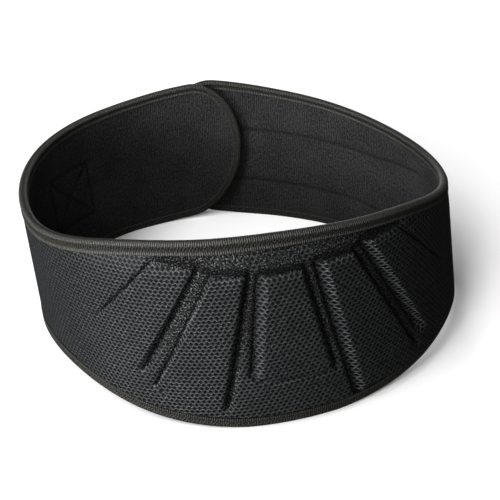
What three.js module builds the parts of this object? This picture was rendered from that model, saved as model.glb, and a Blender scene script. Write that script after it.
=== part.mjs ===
// A contoured neoprene training belt, closed and standing on its lower edge. Millimetres, +Z up.
// The lumbar panel faces -Y. The ends overlap at the back, the wearer's side of the left one
// showing inside the loop. Heights are above the surface that the belt stands on, "along" runs
// round the belt from the middle of its length, and "depth" runs outwards from the wall's middle.
import * as THREE from "three";

// Driving dimensions
const MID_HEIGHT = 75;
const CLEARANCE = 0.3;
const LAYER_GAP = 0.5;
const LINING_THICKNESS = 2.1;
const PANEL_THICKNESS = 2.1;
const TAPE_THICKNESS = 0.9;
const TAPE_WIDTH = 11;
const TAPE_CORNER = 1.3;
const END_LENGTH = 50;
const PATCH_HALF_LENGTH = 24;
const PATCH_HALF_HEIGHT = 41;
const PATCH_TURN = 0.46 * Math.PI;

// The moulded fan: the pads end at its top line, and the channel walls are drawn between
// its top line and its low line. SWELL is how soon the padding rises beside the tape.
const FAN_TOP = 128;
const FAN_LOW = 40;
const FAN_LEFT = -150;
const FAN_RIGHT = 165;
const CHANNEL_DEPTH = 3.2;
const WALL_SLOPE = 3.4;
const SWELL = 2.5;

// The recessed band above the pads fades out between these shares of the way from the fan's
// sides to its outer channels.
const BAND_FADE_FROM = 0.2;
const BAND_FADE_TO = 0.7;

// The loop in plan, seen from above and measured at mid height. Bearings run anticlockwise
// from the lumbar side, reach is the distance from the middle, lean is how far the wall's top
// leans inwards and slant how far it leans back along the belt, both in degrees.
const BEARING_STEP = 30;
const LOOP = [
  { bearing: 0, reach: 148, lean: 4, slant: 4 },
  { bearing: 30, reach: 149, lean: 6, slant: 3 },
  { bearing: 60, reach: 160, lean: 10, slant: 1 },
  { bearing: 90, reach: 170, lean: 10, slant: 0 },
  { bearing: 120, reach: 152, lean: 2, slant: 0 },
  { bearing: 150, reach: 149, lean: -3, slant: 0 },
  { bearing: 180, reach: 155, lean: -2, slant: 0 },
  { bearing: 210, reach: 168, lean: -2, slant: 0 },
  { bearing: 240, reach: 184, lean: -4, slant: 0 },
  { bearing: 270, reach: 173, lean: -3, slant: 0 },
  { bearing: 300, reach: 169, lean: 2, slant: 1 },
  { bearing: 330, reach: 160, lean: 4, slant: 3 },
];
const LEFT_TIP_BEARING = -193;
const RIGHT_TIP_BEARING = 194;
const STEP_OUT_SHARE = 0.8;

// The belt's edges and padding, the same on both sides of the middle. A foot below zero is
// where the soft edge is pressed flat on the surface.
const EDGE_STEP = 55;
const EDGES = [
  { along: 0, top: 152, foot: -2, padding: 3.6 },
  { along: 55, top: 148, foot: 1, padding: 3.6 },
  { along: 110, top: 143, foot: 8, padding: 3.4 },
  { along: 165, top: 128, foot: 21, padding: 2.2 },
  { along: 220, top: 115, foot: 17, padding: 1.4 },
  { along: 275, top: 115, foot: 8, padding: 1.2 },
  { along: 330, top: 121, foot: 2, padding: 1.2 },
  { along: 385, top: 127, foot: -1, padding: 0.8 },
  { along: 440, top: 131, foot: -1, padding: 0 },
  { along: 495, top: 139, foot: 2, padding: 0 },
  { along: 550, top: 143, foot: 12, padding: 0 },
];

// The channels pressed between the five pads. Each has a left and a right wall, placed where
// it meets the fan's top and low lines, and the height at which the channel runs out.
const CHANNELS = [
  { leftTop: -62, leftLow: -103, rightTop: -54, rightLow: -91, end: 36 },
  { leftTop: -30, leftLow: -44, rightTop: -16, rightLow: -31, end: 30 },
  { leftTop: 13, leftLow: 32, rightTop: 27, rightLow: 48, end: 28 },
  { leftTop: 52, leftLow: 99, rightTop: 62, rightLow: 114, end: 32 },
];

// Mesh steps, WALK_STEP in degrees of bearing. ROW_SHARE is the part of the padding's height
// that two rows of the panel keep between them at the least.
const WALK_STEP = 0.5;
const FAN_STEP = 9.5;
const PANEL_STEP = 12;
const ROW_SHARE = 1 / 24;
const TAPE_SHARE = 1 / 5;
const LINING_STEP = 10;
const LINING_ROWS = 3;
const TAPE_STEP = 12;
const END_STEPS = 8;
const PATCH_STEPS = 8;
const MEET_STEPS = 4;
const ROUNDING = 1e-6;

// Sizes that follow from the driving dimensions
const LINING_BACK = -LAYER_GAP / 2;
const LINING_FACE = LINING_BACK - LINING_THICKNESS;
const PANEL_BACK = LAYER_GAP / 2;
const PANEL_FACE = PANEL_BACK + PANEL_THICKNESS;
const TAPE_INNER = PANEL_FACE + CLEARANCE;
const TAPE_OUTER = TAPE_INNER + TAPE_THICKNESS;
const EDGE_INSET = TAPE_THICKNESS + CLEARANCE;
const TAPE_LINE = TAPE_WIDTH + 3 * CLEARANCE;
const OVERLAP_SHIFT = 2 * TAPE_OUTER + CLEARANCE;
const RAD = THREE.MathUtils.DEG2RAD;

// A smooth curve drawn through a table column, by a uniform cubic B-spline
function smooth(pick, position) {
  const row = Math.floor(position);
  const t = position - row;
  const weights = [
    (1 - t) ** 3,
    3 * t ** 3 - 6 * t ** 2 + 4,
    -3 * t ** 3 + 3 * t ** 2 + 3 * t + 1,
    t ** 3,
  ];
  return weights.reduce((sum, weight, k) => sum + (weight / 6) * pick(row + k - 1), 0);
}

function loopValue(column, bearing) {
  const count = LOOP.length;
  return smooth((row) => LOOP[((row % count) + count) % count][column], bearing / BEARING_STEP);
}

function edgeValue(column, along) {
  const last = EDGES.length - 1;
  return smooth((row) => EDGES[Math.min(Math.abs(row), last)][column], Math.abs(along) / EDGE_STEP);
}

function planPoint(bearing) {
  const reach = loopValue("reach", bearing);
  return new THREE.Vector2(Math.sin(bearing * RAD), -Math.cos(bearing * RAD)).multiplyScalar(reach);
}

// The belt steps outwards by one wall from its left end to its right end, all of it over
// STEP_OUT_SHARE of its length, so that it runs parallel to itself where the ends overlap.
function overlapShift(bearing) {
  const middle = (LEFT_TIP_BEARING + RIGHT_TIP_BEARING) / 2;
  const parallelFrom = STEP_OUT_SHARE * (RIGHT_TIP_BEARING - middle);
  const turn = THREE.MathUtils.clamp((bearing - middle) / parallelFrom, -1, 1);
  return (OVERLAP_SHIFT / 2) * Math.sin((turn * Math.PI) / 2);
}

function walkBelt() {
  const count = (RIGHT_TIP_BEARING - LEFT_TIP_BEARING) / WALK_STEP;
  const stations = [];
  for (let i = 0; i <= count; i += 1) {
    const bearing = LEFT_TIP_BEARING + i * WALK_STEP;
    const before = planPoint(bearing - WALK_STEP / 2);
    const tangent = planPoint(bearing + WALK_STEP / 2).sub(before).normalize();
    const outward = new THREE.Vector2(tangent.y, -tangent.x);
    const place = planPoint(bearing).addScaledVector(outward, overlapShift(bearing));
    const previous = stations[i - 1];
    const along = previous ? previous.along + place.distanceTo(previous.place) : 0;
    stations.push({ bearing, place, tangent, outward, along });
  }
  const half = stations[count].along / 2;
  stations.forEach((station) => {
    station.along -= half;
  });
  return stations;
}

const STATIONS = walkBelt();
const HALF_LENGTH = STATIONS[STATIONS.length - 1].along;
const END_START = HALF_LENGTH - END_LENGTH;

function stationAt(along) {
  let low = 0;
  let high = STATIONS.length - 1;
  while (high - low > 1) {
    const middle = (low + high) >> 1;
    if (STATIONS[middle].along <= along) low = middle;
    else high = middle;
  }
  const [from, to] = [STATIONS[low], STATIONS[high]];
  const t = (along - from.along) / (to.along - from.along);
  return {
    bearing: THREE.MathUtils.lerp(from.bearing, to.bearing, t),
    place: from.place.clone().lerp(to.place, t),
    tangent: from.tangent.clone().lerp(to.tangent, t),
    outward: from.outward.clone().lerp(to.outward, t),
  };
}

// A point of the wall: it keeps its stated height, and leans and slants away from mid height
function wallPoint(along, height, depth) {
  const station = stationAt(along);
  const rise = height - MID_HEIGHT;
  const lean = Math.tan(loopValue("lean", station.bearing) * RAD);
  const slant = Math.tan(loopValue("slant", station.bearing) * RAD);
  const plan = station.place
    .clone()
    .addScaledVector(station.outward, depth - rise * lean)
    .addScaledVector(station.tangent, -rise * slant);
  return new THREE.Vector3(plan.x, plan.y, height);
}

// The lower and upper edge at a place along the belt, moved in by an inset. The ends are
// half ellipses.
function edgesAt(along, inset) {
  const top = edgeValue("top", along);
  const foot = Math.max(edgeValue("foot", along), 0);
  const middle = (top + foot) / 2;
  const over = Math.max(Math.abs(along) - END_START, 0) / (END_LENGTH - inset);
  const half = ((top - foot) / 2 - inset) * Math.sqrt(Math.max(1 - over ** 2, 0));
  return { foot: middle - half, top: middle + half };
}

function range(from, to, step) {
  const count = Math.ceil((to - from) / step - ROUNDING);
  return Array.from({ length: count + 1 }, (_, i) => from + ((to - from) * i) / count);
}

// Turns of the rounded end, without its two limits
function endTurns() {
  return Array.from({ length: END_STEPS - 1 }, (_, i) => ((i + 1) / END_STEPS) * (Math.PI / 2));
}

// Places along the belt for a sheet that ends just short of the rounded tips
function sheetAlongs(step, inset) {
  const tips = endTurns().map((turn) => END_START + (END_LENGTH - inset) * Math.sin(turn));
  const left = tips.map((along) => -along).reverse();
  return [...left, ...range(-END_START, END_START, step), ...tips];
}

// A closed body between two grids of points, the second one outside the first. Each square is
// split along its shorter diagonal, which keeps a slanting grid close to the curved wall.
function sheetGeometry(back, face) {
  const columns = back.length;
  const rows = back[0].length;
  const points = [...back.flat(), ...face.flat()];
  const index = [];
  const at = (side, i, j) => side * columns * rows + i * rows + j;
  const gap = (a, b) => points[a].distanceTo(points[b]);
  const quad = (a, b, c, d) => {
    if (gap(a, c) <= gap(b, d)) index.push(a, b, c, a, c, d);
    else index.push(b, c, d, b, d, a);
  };
  for (let i = 0; i + 1 < columns; i += 1) {
    for (let j = 0; j + 1 < rows; j += 1) {
      quad(at(1, i, j), at(1, i + 1, j), at(1, i + 1, j + 1), at(1, i, j + 1));
      quad(at(0, i, j), at(0, i, j + 1), at(0, i + 1, j + 1), at(0, i + 1, j));
    }
    quad(at(0, i, 0), at(0, i + 1, 0), at(1, i + 1, 0), at(1, i, 0));
    quad(at(0, i, rows - 1), at(1, i, rows - 1), at(1, i + 1, rows - 1), at(0, i + 1, rows - 1));
  }
  const last = columns - 1;
  for (let j = 0; j + 1 < rows; j += 1) {
    quad(at(0, 0, j), at(1, 0, j), at(1, 0, j + 1), at(0, 0, j + 1));
    quad(at(0, last, j), at(0, last, j + 1), at(1, last, j + 1), at(1, last, j));
  }
  return indexedGeometry(points, index);
}

// A closed body swept round a ring of equal sections
function ringGeometry(sections) {
  const count = sections.length;
  const size = sections[0].length;
  const index = [];
  for (let i = 0; i < count; i += 1) {
    const next = (i + 1) % count;
    for (let j = 0; j < size; j += 1) {
      const after = (j + 1) % size;
      const [a, b, c, d] = [i * size + j, next * size + j, next * size + after, i * size + after];
      index.push(a, b, c, a, c, d);
    }
  }
  return indexedGeometry(sections.flat(), index);
}

function indexedGeometry(points, index) {
  const geometry = new THREE.BufferGeometry().setFromPoints(points);
  geometry.setIndex(index);
  geometry.computeVertexNormals();
  return geometry;
}

// A line drawn across the belt, straight in height between the fan's low and top lines
function alongOn(line, height) {
  return line.low + ((height - FAN_LOW) * (line.top - line.low)) / (FAN_TOP - FAN_LOW);
}

// Where a line meets an edge whose height changes along the belt
function meetEdge(line, side, inset) {
  let height = edgesAt(line.low, inset)[side];
  for (let i = 0; i < MEET_STEPS; i += 1) height = edgesAt(alongOn(line, height), inset)[side];
  return height;
}

// The lines of the fan from left to right: the crest and the foot of every channel wall, with
// more lines between them where they lie far apart
function fanLines() {
  const ease = WALL_SLOPE / 2;
  const wall = (top, low, end, shift, recess) => ({ top: top + shift, low: low + shift, end, recess });
  const guides = [{ top: FAN_LEFT, low: FAN_LEFT, end: FAN_LOW, recess: 0 }];
  CHANNELS.forEach((c) => {
    guides.push(wall(c.leftTop, c.leftLow, c.end, -ease, 0));
    guides.push(wall(c.leftTop, c.leftLow, c.end, ease, 1));
    guides.push(wall(c.rightTop, c.rightLow, c.end, -ease, 1));
    guides.push(wall(c.rightTop, c.rightLow, c.end, ease, 0));
  });
  guides.push({ top: FAN_RIGHT, low: FAN_RIGHT, end: FAN_LOW, recess: 0 });
  const lines = [];
  guides.slice(1).forEach((next, k) => {
    const from = guides[k];
    const parts = Math.ceil(Math.max(next.top - from.top, next.low - from.low) / FAN_STEP);
    for (let i = 0; i < parts; i += 1) {
      const mix = (column) => THREE.MathUtils.lerp(from[column], next[column], i / parts);
      lines.push({ top: mix("top"), low: mix("low"), end: mix("end"), recess: mix("recess") });
    }
  });
  return lines;
}

function uprightLine(along) {
  return { top: along, low: along, end: FAN_LOW, recess: 0 };
}

function panelLines() {
  const alongs = sheetAlongs(PANEL_STEP, EDGE_INSET);
  const left = alongs.filter((along) => along < FAN_LEFT - PANEL_STEP / 2);
  const right = alongs.filter((along) => along > FAN_RIGHT - PANEL_STEP / 2);
  return [...left.map(uprightLine), ...fanLines(), ...right.map(uprightLine)];
}

// One column of the panel: places across the belt from its lower to its upper edge, each with
// how much of the padding and of the pressed recess it has. The rows keep apart at the tips.
function panelColumn(line) {
  const foot = meetEdge(line, "foot", EDGE_INSET);
  const top = meetEdge(line, "top", EDGE_INSET);
  const tape = Math.min(TAPE_LINE - EDGE_INSET, (top - foot) * TAPE_SHARE);
  const swell = tape + Math.min(SWELL, tape / 4);
  const low = foot + swell;
  const high = top - swell;
  const least = (high - low) * ROW_SHARE;
  const crest = Math.min(FAN_TOP - WALL_SLOPE / 2, high - 2 * least);
  const lip = Math.min(FAN_TOP + WALL_SLOPE / 2, high - least);
  const runOut = THREE.MathUtils.clamp(line.end - WALL_SLOPE, low + least, low + 8 * least);
  const recessed = runOut + Math.min(2 * WALL_SLOPE, 2 * least);
  const inFan = line.top > FAN_LEFT && line.top < FAN_RIGHT;
  const band = inFan ? edgeFade(line.top) : 0;
  const between = [1 / 3, 2 / 3].map((t) => THREE.MathUtils.lerp(recessed, crest, t));
  return [
    { height: foot, padding: 0, recess: 0 },
    { height: foot + tape, padding: 0, recess: 0 },
    { height: low, padding: 1, recess: 0 },
    { height: runOut, padding: 1, recess: 0 },
    { height: recessed, padding: 1, recess: line.recess },
    ...between.map((height) => ({ height, padding: 1, recess: line.recess })),
    { height: crest, padding: 1, recess: line.recess },
    { height: lip, padding: 1, recess: Math.max(band, line.recess) },
    { height: high, padding: 1, recess: Math.max(band, line.recess) },
    { height: top - tape, padding: 0, recess: 0 },
    { height: top, padding: 0, recess: 0 },
  ];
}

// How much of the recessed band above the pads there is at a place along the belt
function edgeFade(along) {
  const fromLeft = (along - FAN_LEFT) / (CHANNELS[0].leftTop - FAN_LEFT);
  const fromRight = (FAN_RIGHT - along) / (FAN_RIGHT - CHANNELS[CHANNELS.length - 1].rightTop);
  return THREE.MathUtils.smoothstep(Math.min(fromLeft, fromRight), BAND_FADE_FROM, BAND_FADE_TO);
}

function panelDepth(along, place) {
  const padding = edgeValue("padding", along) * place.padding;
  return PANEL_FACE + padding - Math.min(CHANNEL_DEPTH * place.recess, padding);
}

function outerPanel() {
  const columns = panelLines().map((line) =>
    panelColumn(line).map((place) => ({ ...place, along: alongOn(line, place.height) })),
  );
  const back = columns.map((column) => column.map((p) => wallPoint(p.along, p.height, PANEL_BACK)));
  const face = columns.map((column) =>
    column.map((p) => wallPoint(p.along, p.height, panelDepth(p.along, p))),
  );
  return sheetGeometry(back, face);
}

function lining() {
  const alongs = sheetAlongs(LINING_STEP, EDGE_INSET);
  const grid = (depth) =>
    alongs.map((along) => {
      const { foot, top } = edgesAt(along, EDGE_INSET);
      const heights = range(foot, top, (top - foot) / LINING_ROWS);
      return heights.map((height) => wallPoint(along, height, depth));
    });
  return sheetGeometry(grid(LINING_FACE), grid(LINING_BACK));
}

// The belt's outline, drawn flat: upper edge, right end, lower edge and left end
function beltOutline() {
  const straight = range(-END_START, END_START, TAPE_STEP);
  const turns = [...endTurns(), Math.PI / 2];
  const tips = turns.map((turn) => END_START + END_LENGTH * Math.sin(turn));
  const inner = tips.slice(0, -1);
  const upper = (along) => new THREE.Vector2(along, edgesAt(along, 0).top);
  const lower = (along) => new THREE.Vector2(along, edgesAt(along, 0).foot);
  return [
    ...straight.map(upper),
    ...tips.map(upper),
    ...inner.reverse().map(lower),
    ...straight.slice().reverse().map(lower),
    ...tips.map((along) => lower(-along)),
    ...inner.map((along) => upper(-along)),
  ];
}

// The edge tape folds over both faces: a section as inset from the outline and depth
function tapeSection() {
  const leg = (inset, depth) => ({ inset, depth });
  return [
    leg(TAPE_WIDTH, TAPE_OUTER),
    leg(TAPE_CORNER, TAPE_OUTER),
    leg(0, TAPE_OUTER - TAPE_CORNER),
    leg(0, TAPE_CORNER - TAPE_OUTER),
    leg(TAPE_CORNER, -TAPE_OUTER),
    leg(TAPE_WIDTH, -TAPE_OUTER),
    leg(TAPE_WIDTH, -TAPE_INNER),
    leg(TAPE_THICKNESS, -TAPE_INNER),
    leg(TAPE_THICKNESS, TAPE_INNER),
    leg(TAPE_WIDTH, TAPE_INNER),
  ];
}

function edgeBinding() {
  const outline = beltOutline();
  const section = tapeSection();
  const count = outline.length;
  const rings = outline.map((point, i) => {
    const course = outline[(i + 1) % count].clone().sub(outline[(i + count - 1) % count]).normalize();
    const inward = new THREE.Vector2(course.y, -course.x);
    return section.map(({ inset, depth }) => {
      const place = point.clone().addScaledVector(inward, inset);
      return wallPoint(place.x, place.y, depth);
    });
  });
  return ringGeometry(rings);
}

// The hook patch fills the overlap between the two ends, inside both bindings
function hookPatch() {
  const overlapMiddle = overlapMiddleAlong();
  const { foot, top } = edgesAt(overlapMiddle, 0);
  const middle = (foot + top) / 2;
  const turns = range(-PATCH_TURN, PATCH_TURN, (2 * PATCH_TURN) / PATCH_STEPS);
  const grid = (depth) =>
    turns.map((turn) => {
      const along = overlapMiddle + PATCH_HALF_LENGTH * Math.sin(turn);
      const half = PATCH_HALF_HEIGHT * Math.cos(turn);
      return [middle - half, middle + half].map((height) => wallPoint(along, height, depth));
    });
  const outerWall = OVERLAP_SHIFT + LINING_FACE;
  return sheetGeometry(grid(PANEL_FACE + CLEARANCE), grid(outerWall - CLEARANCE));
}

// The middle of the overlap, as a place along the left end
function overlapMiddleAlong() {
  const rightTipOnLeft = RIGHT_TIP_BEARING - 360;
  const facing = STATIONS.find((station) => station.bearing >= rightTipOnLeft);
  return (facing.along - HALF_LENGTH) / 2;
}

function material(colour, roughness) {
  return new THREE.MeshStandardMaterial({ color: colour, roughness, metalness: 0 });
}

function piece(name, geometry, finish) {
  const mesh = new THREE.Mesh(geometry, finish);
  mesh.name = name;
  return mesh;
}

const belt = new THREE.Group();
belt.add(
  piece("outer_panel", outerPanel(), material(0x3b4047, 0.85)),
  piece("lining", lining(), material(0x2a2a2c, 0.95)),
  piece("edge_binding", edgeBinding(), material(0x4a483f, 0.7)),
  piece("hook_patch", hookPatch(), material(0x202022, 0.9)),
);

// The belt stands with the middle of its box over the origin
const middle = new THREE.Box3().setFromObject(belt).getCenter(new THREE.Vector3());
belt.position.set(-middle.x, -middle.y, 0);

export default belt;
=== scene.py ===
"""A contoured neoprene training belt, closed and standing on its lower edge.

+Z is up and the lumbar panel faces -Y. The belt is one wall of layers that runs round the
waist. A place on it is given by how far it lies along the belt from the middle of its length,
its height above the floor, and its depth outwards from the wall's middle. Patterns and sizes
are in millimetres, as a cutter gives them, and meshes are in metres.

A sheet is first drawn flat, DRAFT_THICKNESS thick, and its points are then laid on the wall. Its
columns round a tip are spaced by turn, up to TIP_TURN degrees.
"""

import logging
import math
from dataclasses import dataclass, field
from enum import Enum

import bpy
import numpy as np
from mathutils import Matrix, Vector


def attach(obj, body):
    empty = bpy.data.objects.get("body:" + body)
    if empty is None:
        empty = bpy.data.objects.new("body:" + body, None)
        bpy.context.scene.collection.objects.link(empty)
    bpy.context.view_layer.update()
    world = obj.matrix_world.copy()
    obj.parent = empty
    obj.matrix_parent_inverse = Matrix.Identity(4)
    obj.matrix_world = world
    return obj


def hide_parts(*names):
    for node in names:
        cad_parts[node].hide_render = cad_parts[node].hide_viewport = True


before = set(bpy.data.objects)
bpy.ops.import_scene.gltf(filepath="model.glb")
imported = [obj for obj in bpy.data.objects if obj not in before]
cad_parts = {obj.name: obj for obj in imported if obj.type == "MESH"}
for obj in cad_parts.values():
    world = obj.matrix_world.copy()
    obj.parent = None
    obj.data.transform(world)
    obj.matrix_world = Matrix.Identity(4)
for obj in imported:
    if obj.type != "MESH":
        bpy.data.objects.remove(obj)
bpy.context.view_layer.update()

MM = 0.001
DRAFT_THICKNESS = 1.0
TIP_TURN = 87.0
MIX_COLOURS = (6, 7)
MIX_RESULT = 2
CLOTH_MAP = "cloth"
PRESSED_AND_PAINTED_SHADE = "pressed"
PAINTED_LIGHT = "painted_light"
FOLD_AND_RIM_SHADOW = "fold_and_rim_shadow"
MARK = "mark"
log = logging.getLogger("belt")


# The wall


@dataclass(frozen=True)
class BeltWall:
    """The wall that every layer of the belt follows, and the belt's outline on it.

    loop holds, for every 30 degrees of bearing anticlockwise from the lumbar side, the reach
    from the middle at mid height and how many degrees the wall leans inwards and slants back.
    cut holds, for every 55 mm along the belt from its middle, the height of the upper edge, of
    the lower edge, and the thickness of the padding. The ends are half ellipses, end_length long
    and about end_run round. overlap_shift is how far the right end lies outside the left one.
    """

    loop: tuple[tuple[float, float, float], ...] = (
        (148, 4, 4),
        (149, 6, 3),
        (160, 10, 1),
        (170, 10, 0),
        (152, 2, 0),
        (149, -3, 0),
        (155, -2, 0),
        (168, -2, 0),
        (184, -4, 0),
        (173, -3, 0),
        (169, 2, 1),
        (160, 4, 3),
    )
    cut: tuple[tuple[float, float, float], ...] = (
        (153.4, -2, 3.6),
        (149.5, 1, 3.6),
        (144.4, 8, 2.7),
        (129, 21, 1.7),
        (116.5, 17, 0.8),
        (116, 8, 0.5),
        (121, 2, 0.5),
        (127, -1, 0.5),
        (131, -1, 0),
        (139, 2, 0),
        (143, 12, 0),
    )
    bearing_step: float = 30.0
    cut_step: float = 55.0
    mid_height: float = 75.0
    left_tip: float = -193.0
    right_tip: float = 194.0
    walk_step: float = 0.5
    overlap_shift: float = 7.4
    step_out_share: float = 0.8
    end_length: float = 50.0
    end_run: float = 170.0
    box_shift: tuple[float, float] = (-2.1101, -2.8532)

    def spline(self, rows: np.ndarray, position: np.ndarray, closed: bool) -> np.ndarray:
        """Draws a uniform cubic B-spline through table rows.

        Args:
            rows: the table, one row for each whole position.
            position: where to read it.
            closed: whether the table goes round, or is the same on both sides of row 0.

        Returns:
            One row of values for each position.
        """
        row = np.floor(position).astype(int)
        t = position - row
        weights = (
            (1 - t) ** 3,
            3 * t**3 - 6 * t**2 + 4,
            -3 * t**3 + 3 * t**2 + 3 * t + 1,
            t**3,
        )
        total = np.zeros(t.shape + (rows.shape[1],))
        for k, weight in enumerate(weights):
            near = row + k - 1
            near = near % len(rows) if closed else np.minimum(np.abs(near), len(rows) - 1)
            total += (weight / 6)[..., None] * rows[near]
        return total

    def loop_at(self, bearing: np.ndarray) -> np.ndarray:
        """Reach, lean and slant at some bearings."""
        return self.spline(np.array(self.loop, float), bearing / self.bearing_step, True)

    def cut_at(self, along: np.ndarray) -> np.ndarray:
        """Upper edge, lower edge and padding at some places along the belt."""
        return self.spline(np.array(self.cut, float), np.abs(along) / self.cut_step, False)

    def plan(self, bearing: np.ndarray) -> np.ndarray:
        """The wall's middle at mid height, seen from above."""
        turn = np.radians(bearing)
        return np.stack([np.sin(turn), -np.cos(turn)], -1) * self.loop_at(bearing)[..., :1]

    def stations(self) -> dict[str, np.ndarray]:
        """Walks the belt from its left tip to its right tip.

        Returns:
            The bearing, place along the belt, place in plan, and the tangent and outward
            directions of every step.
        """
        bearing = np.arange(self.left_tip, self.right_tip + self.walk_step / 2, self.walk_step)
        tangent = self.plan(bearing + self.walk_step / 2) - self.plan(bearing - self.walk_step / 2)
        tangent /= np.linalg.norm(tangent, axis=1)[:, None]
        outward = np.stack([tangent[:, 1], -tangent[:, 0]], 1)
        middle = (self.left_tip + self.right_tip) / 2
        turn = (bearing - middle) / (self.step_out_share * (self.right_tip - middle))
        shift = self.overlap_shift / 2 * np.sin(np.clip(turn, -1, 1) * math.pi / 2)
        place = self.plan(bearing) + outward * shift[:, None]
        steps = np.linalg.norm(np.diff(place, axis=0), axis=1)
        along = np.concatenate([[0.0], np.cumsum(steps)])
        return {
            "bearing": bearing,
            "along": along - along[-1] / 2,
            "place": place,
            "tangent": tangent,
            "outward": outward,
        }


class Belt:
    """The wall, walked once, with the places that the layers ask it for."""

    def __init__(self, wall: BeltWall) -> None:
        """Walks the wall.

        Args:
            wall: the wall.
        """
        self.wall = wall
        self.walk = wall.stations()
        self.half_length = float(self.walk["along"][-1])
        self.end_start = self.half_length - wall.end_length

    def read(self, column: str, along: np.ndarray) -> np.ndarray:
        """Reads one column of the walk.

        Args:
            column: the column's name.
            along: places along the belt.

        Returns:
            The column's values there.
        """
        values = self.walk[column]
        if values.ndim == 1:
            return np.interp(along, self.walk["along"], values)
        return np.stack([np.interp(along, self.walk["along"], v) for v in values.T], -1)

    def point(self, along: np.ndarray, height: np.ndarray, depth: np.ndarray) -> np.ndarray:
        """Places of the wall in the belt's frame.

        Args:
            along: places along the belt, in millimetres.
            height: heights above the floor, in millimetres.
            depth: depths outwards from the wall's middle, in millimetres.

        Returns:
            One point for each, in metres.
        """
        along, height, depth = np.broadcast_arrays(along, height, depth)
        loop = self.wall.loop_at(self.read("bearing", along))
        rise = height - self.wall.mid_height
        lean = np.tan(np.radians(loop[..., 1]))
        slant = np.tan(np.radians(loop[..., 2]))
        plan = (
            self.read("place", along)
            + self.read("outward", along) * (depth - rise * lean)[..., None]
            - self.read("tangent", along) * (rise * slant)[..., None]
            + np.array(self.wall.box_shift)
        )
        return np.concatenate([plan, height[..., None]], -1) * MM

    def edges(self, along: np.ndarray, inset: float) -> tuple[np.ndarray, np.ndarray]:
        """The lower and upper edge at some places along the belt, moved in by an inset.

        Args:
            along: places along the belt.
            inset: how far the edges move in. The ends are half ellipses.

        Returns:
            The lower and the upper edge's heights.
        """
        cut = self.wall.cut_at(along)
        top, foot = cut[..., 0], np.maximum(cut[..., 1], 0)
        over = np.maximum(np.abs(along) - self.end_start, 0) / (self.wall.end_length - inset)
        half = ((top - foot) / 2 - inset) * np.sqrt(np.maximum(1 - over**2, 0))
        middle = (top + foot) / 2
        return middle - half, middle + half

    def upper_leg(self, along: np.ndarray) -> np.ndarray:
        """How far the tape's outer leg reaches down from the upper edge."""
        return np.interp(along, *np.array(LAYERS.upper_leg).T)

    def outer_leg(self, places: np.ndarray) -> np.ndarray:
        """How far the tape's outer leg reaches in from the edge.

        Args:
            places: flat places of the edge, along the belt and up it.

        Returns:
            The leg's width at each.
        """
        along, height = places.T
        upper = ease((height - self.wall.mid_height) / LAYERS.leg_blend)
        return LAYERS.tape_width + (self.upper_leg(along) - LAYERS.tape_width) * upper

    def cloth_edges(self, along: np.ndarray) -> tuple[np.ndarray, np.ndarray]:
        """Where the tape's outer leg ends, above the lower and below the upper edge.

        Args:
            along: places along the belt.

        Returns:
            The two heights at each.
        """
        foot, _ = self.edges(along, LAYERS.tape_width)
        _, top = self.edges(along, self.upper_leg(along))
        return foot, top

    def padding(self, along: np.ndarray) -> np.ndarray:
        """The padding's thickness at some places along the belt."""
        return self.wall.cut_at(along)[..., 2]

    def outline(self, step: float) -> np.ndarray:
        """Walks the belt's outline, laid flat.

        Args:
            step: the distance between two places.

        Returns:
            For each place its base along the belt, the side of the end it is on and its turn
            round that end. It starts on the upper edge at the left and runs clockwise.
        """
        straight = np.linspace(-self.end_start, self.end_start, round(2 * self.end_start / step))
        end_steps = round(self.wall.end_run / step)
        turn = np.linspace(0, math.pi, end_steps + 1)[1:-1]
        rows = [
            np.stack([straight, np.zeros_like(straight), np.zeros_like(straight)], 1),
            np.stack([np.full_like(turn, self.end_start), np.ones_like(turn), turn], 1),
            np.stack([straight[::-1], np.zeros_like(straight), np.full_like(straight, math.pi)], 1),
            np.stack([np.full_like(turn, -self.end_start), -np.ones_like(turn), turn[::-1]], 1),
        ]
        return np.concatenate(rows)

    def outline_places(self, outline: np.ndarray, inset: float) -> np.ndarray:
        """Flat places of an outline walk, moved in by an inset.

        Args:
            outline: the walk.
            inset: how far the places move in.

        Returns:
            Each place along the belt and its height.
        """
        base, side, turn = outline.T
        along = base + side * (self.wall.end_length - inset) * np.sin(turn)
        cut = self.wall.cut_at(along)
        top, foot = cut[..., 0], np.maximum(cut[..., 1], 0)
        height = (top + foot) / 2 + ((top - foot) / 2 - inset) * np.cos(turn)
        return np.stack([along, height], 1)


# Layer depths, outwards from the wall's middle, and widths, in millimetres


@dataclass(frozen=True)
class Layers:
    """Where each layer lies in the wall's thickness, and how far in its edge is.

    upper_leg holds, for some places along the belt, how far the tape's outer leg reaches down
    from the upper edge.
    """

    lining_back: float = -0.25
    lining_face: float = -2.35
    panel_back: float = 0.25
    panel_face: float = 2.35
    tape_inner: float = 2.65
    tape_outer: float = 3.55
    tape_width: float = 7.5
    upper_leg: tuple[tuple[float, float], ...] = (
        (-130, 8.8),
        (-75, 8.4),
        (-42, 9.0),
        (-20, 8.2),
        (5, 8.2),
        (35, 7.0),
    )
    leg_blend: float = 40.0
    inner_tape_width: float = 6.8
    tape_thickness: float = 0.9
    edge_inset: float = 1.2


LAYERS = Layers()


# Shader maths


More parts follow.
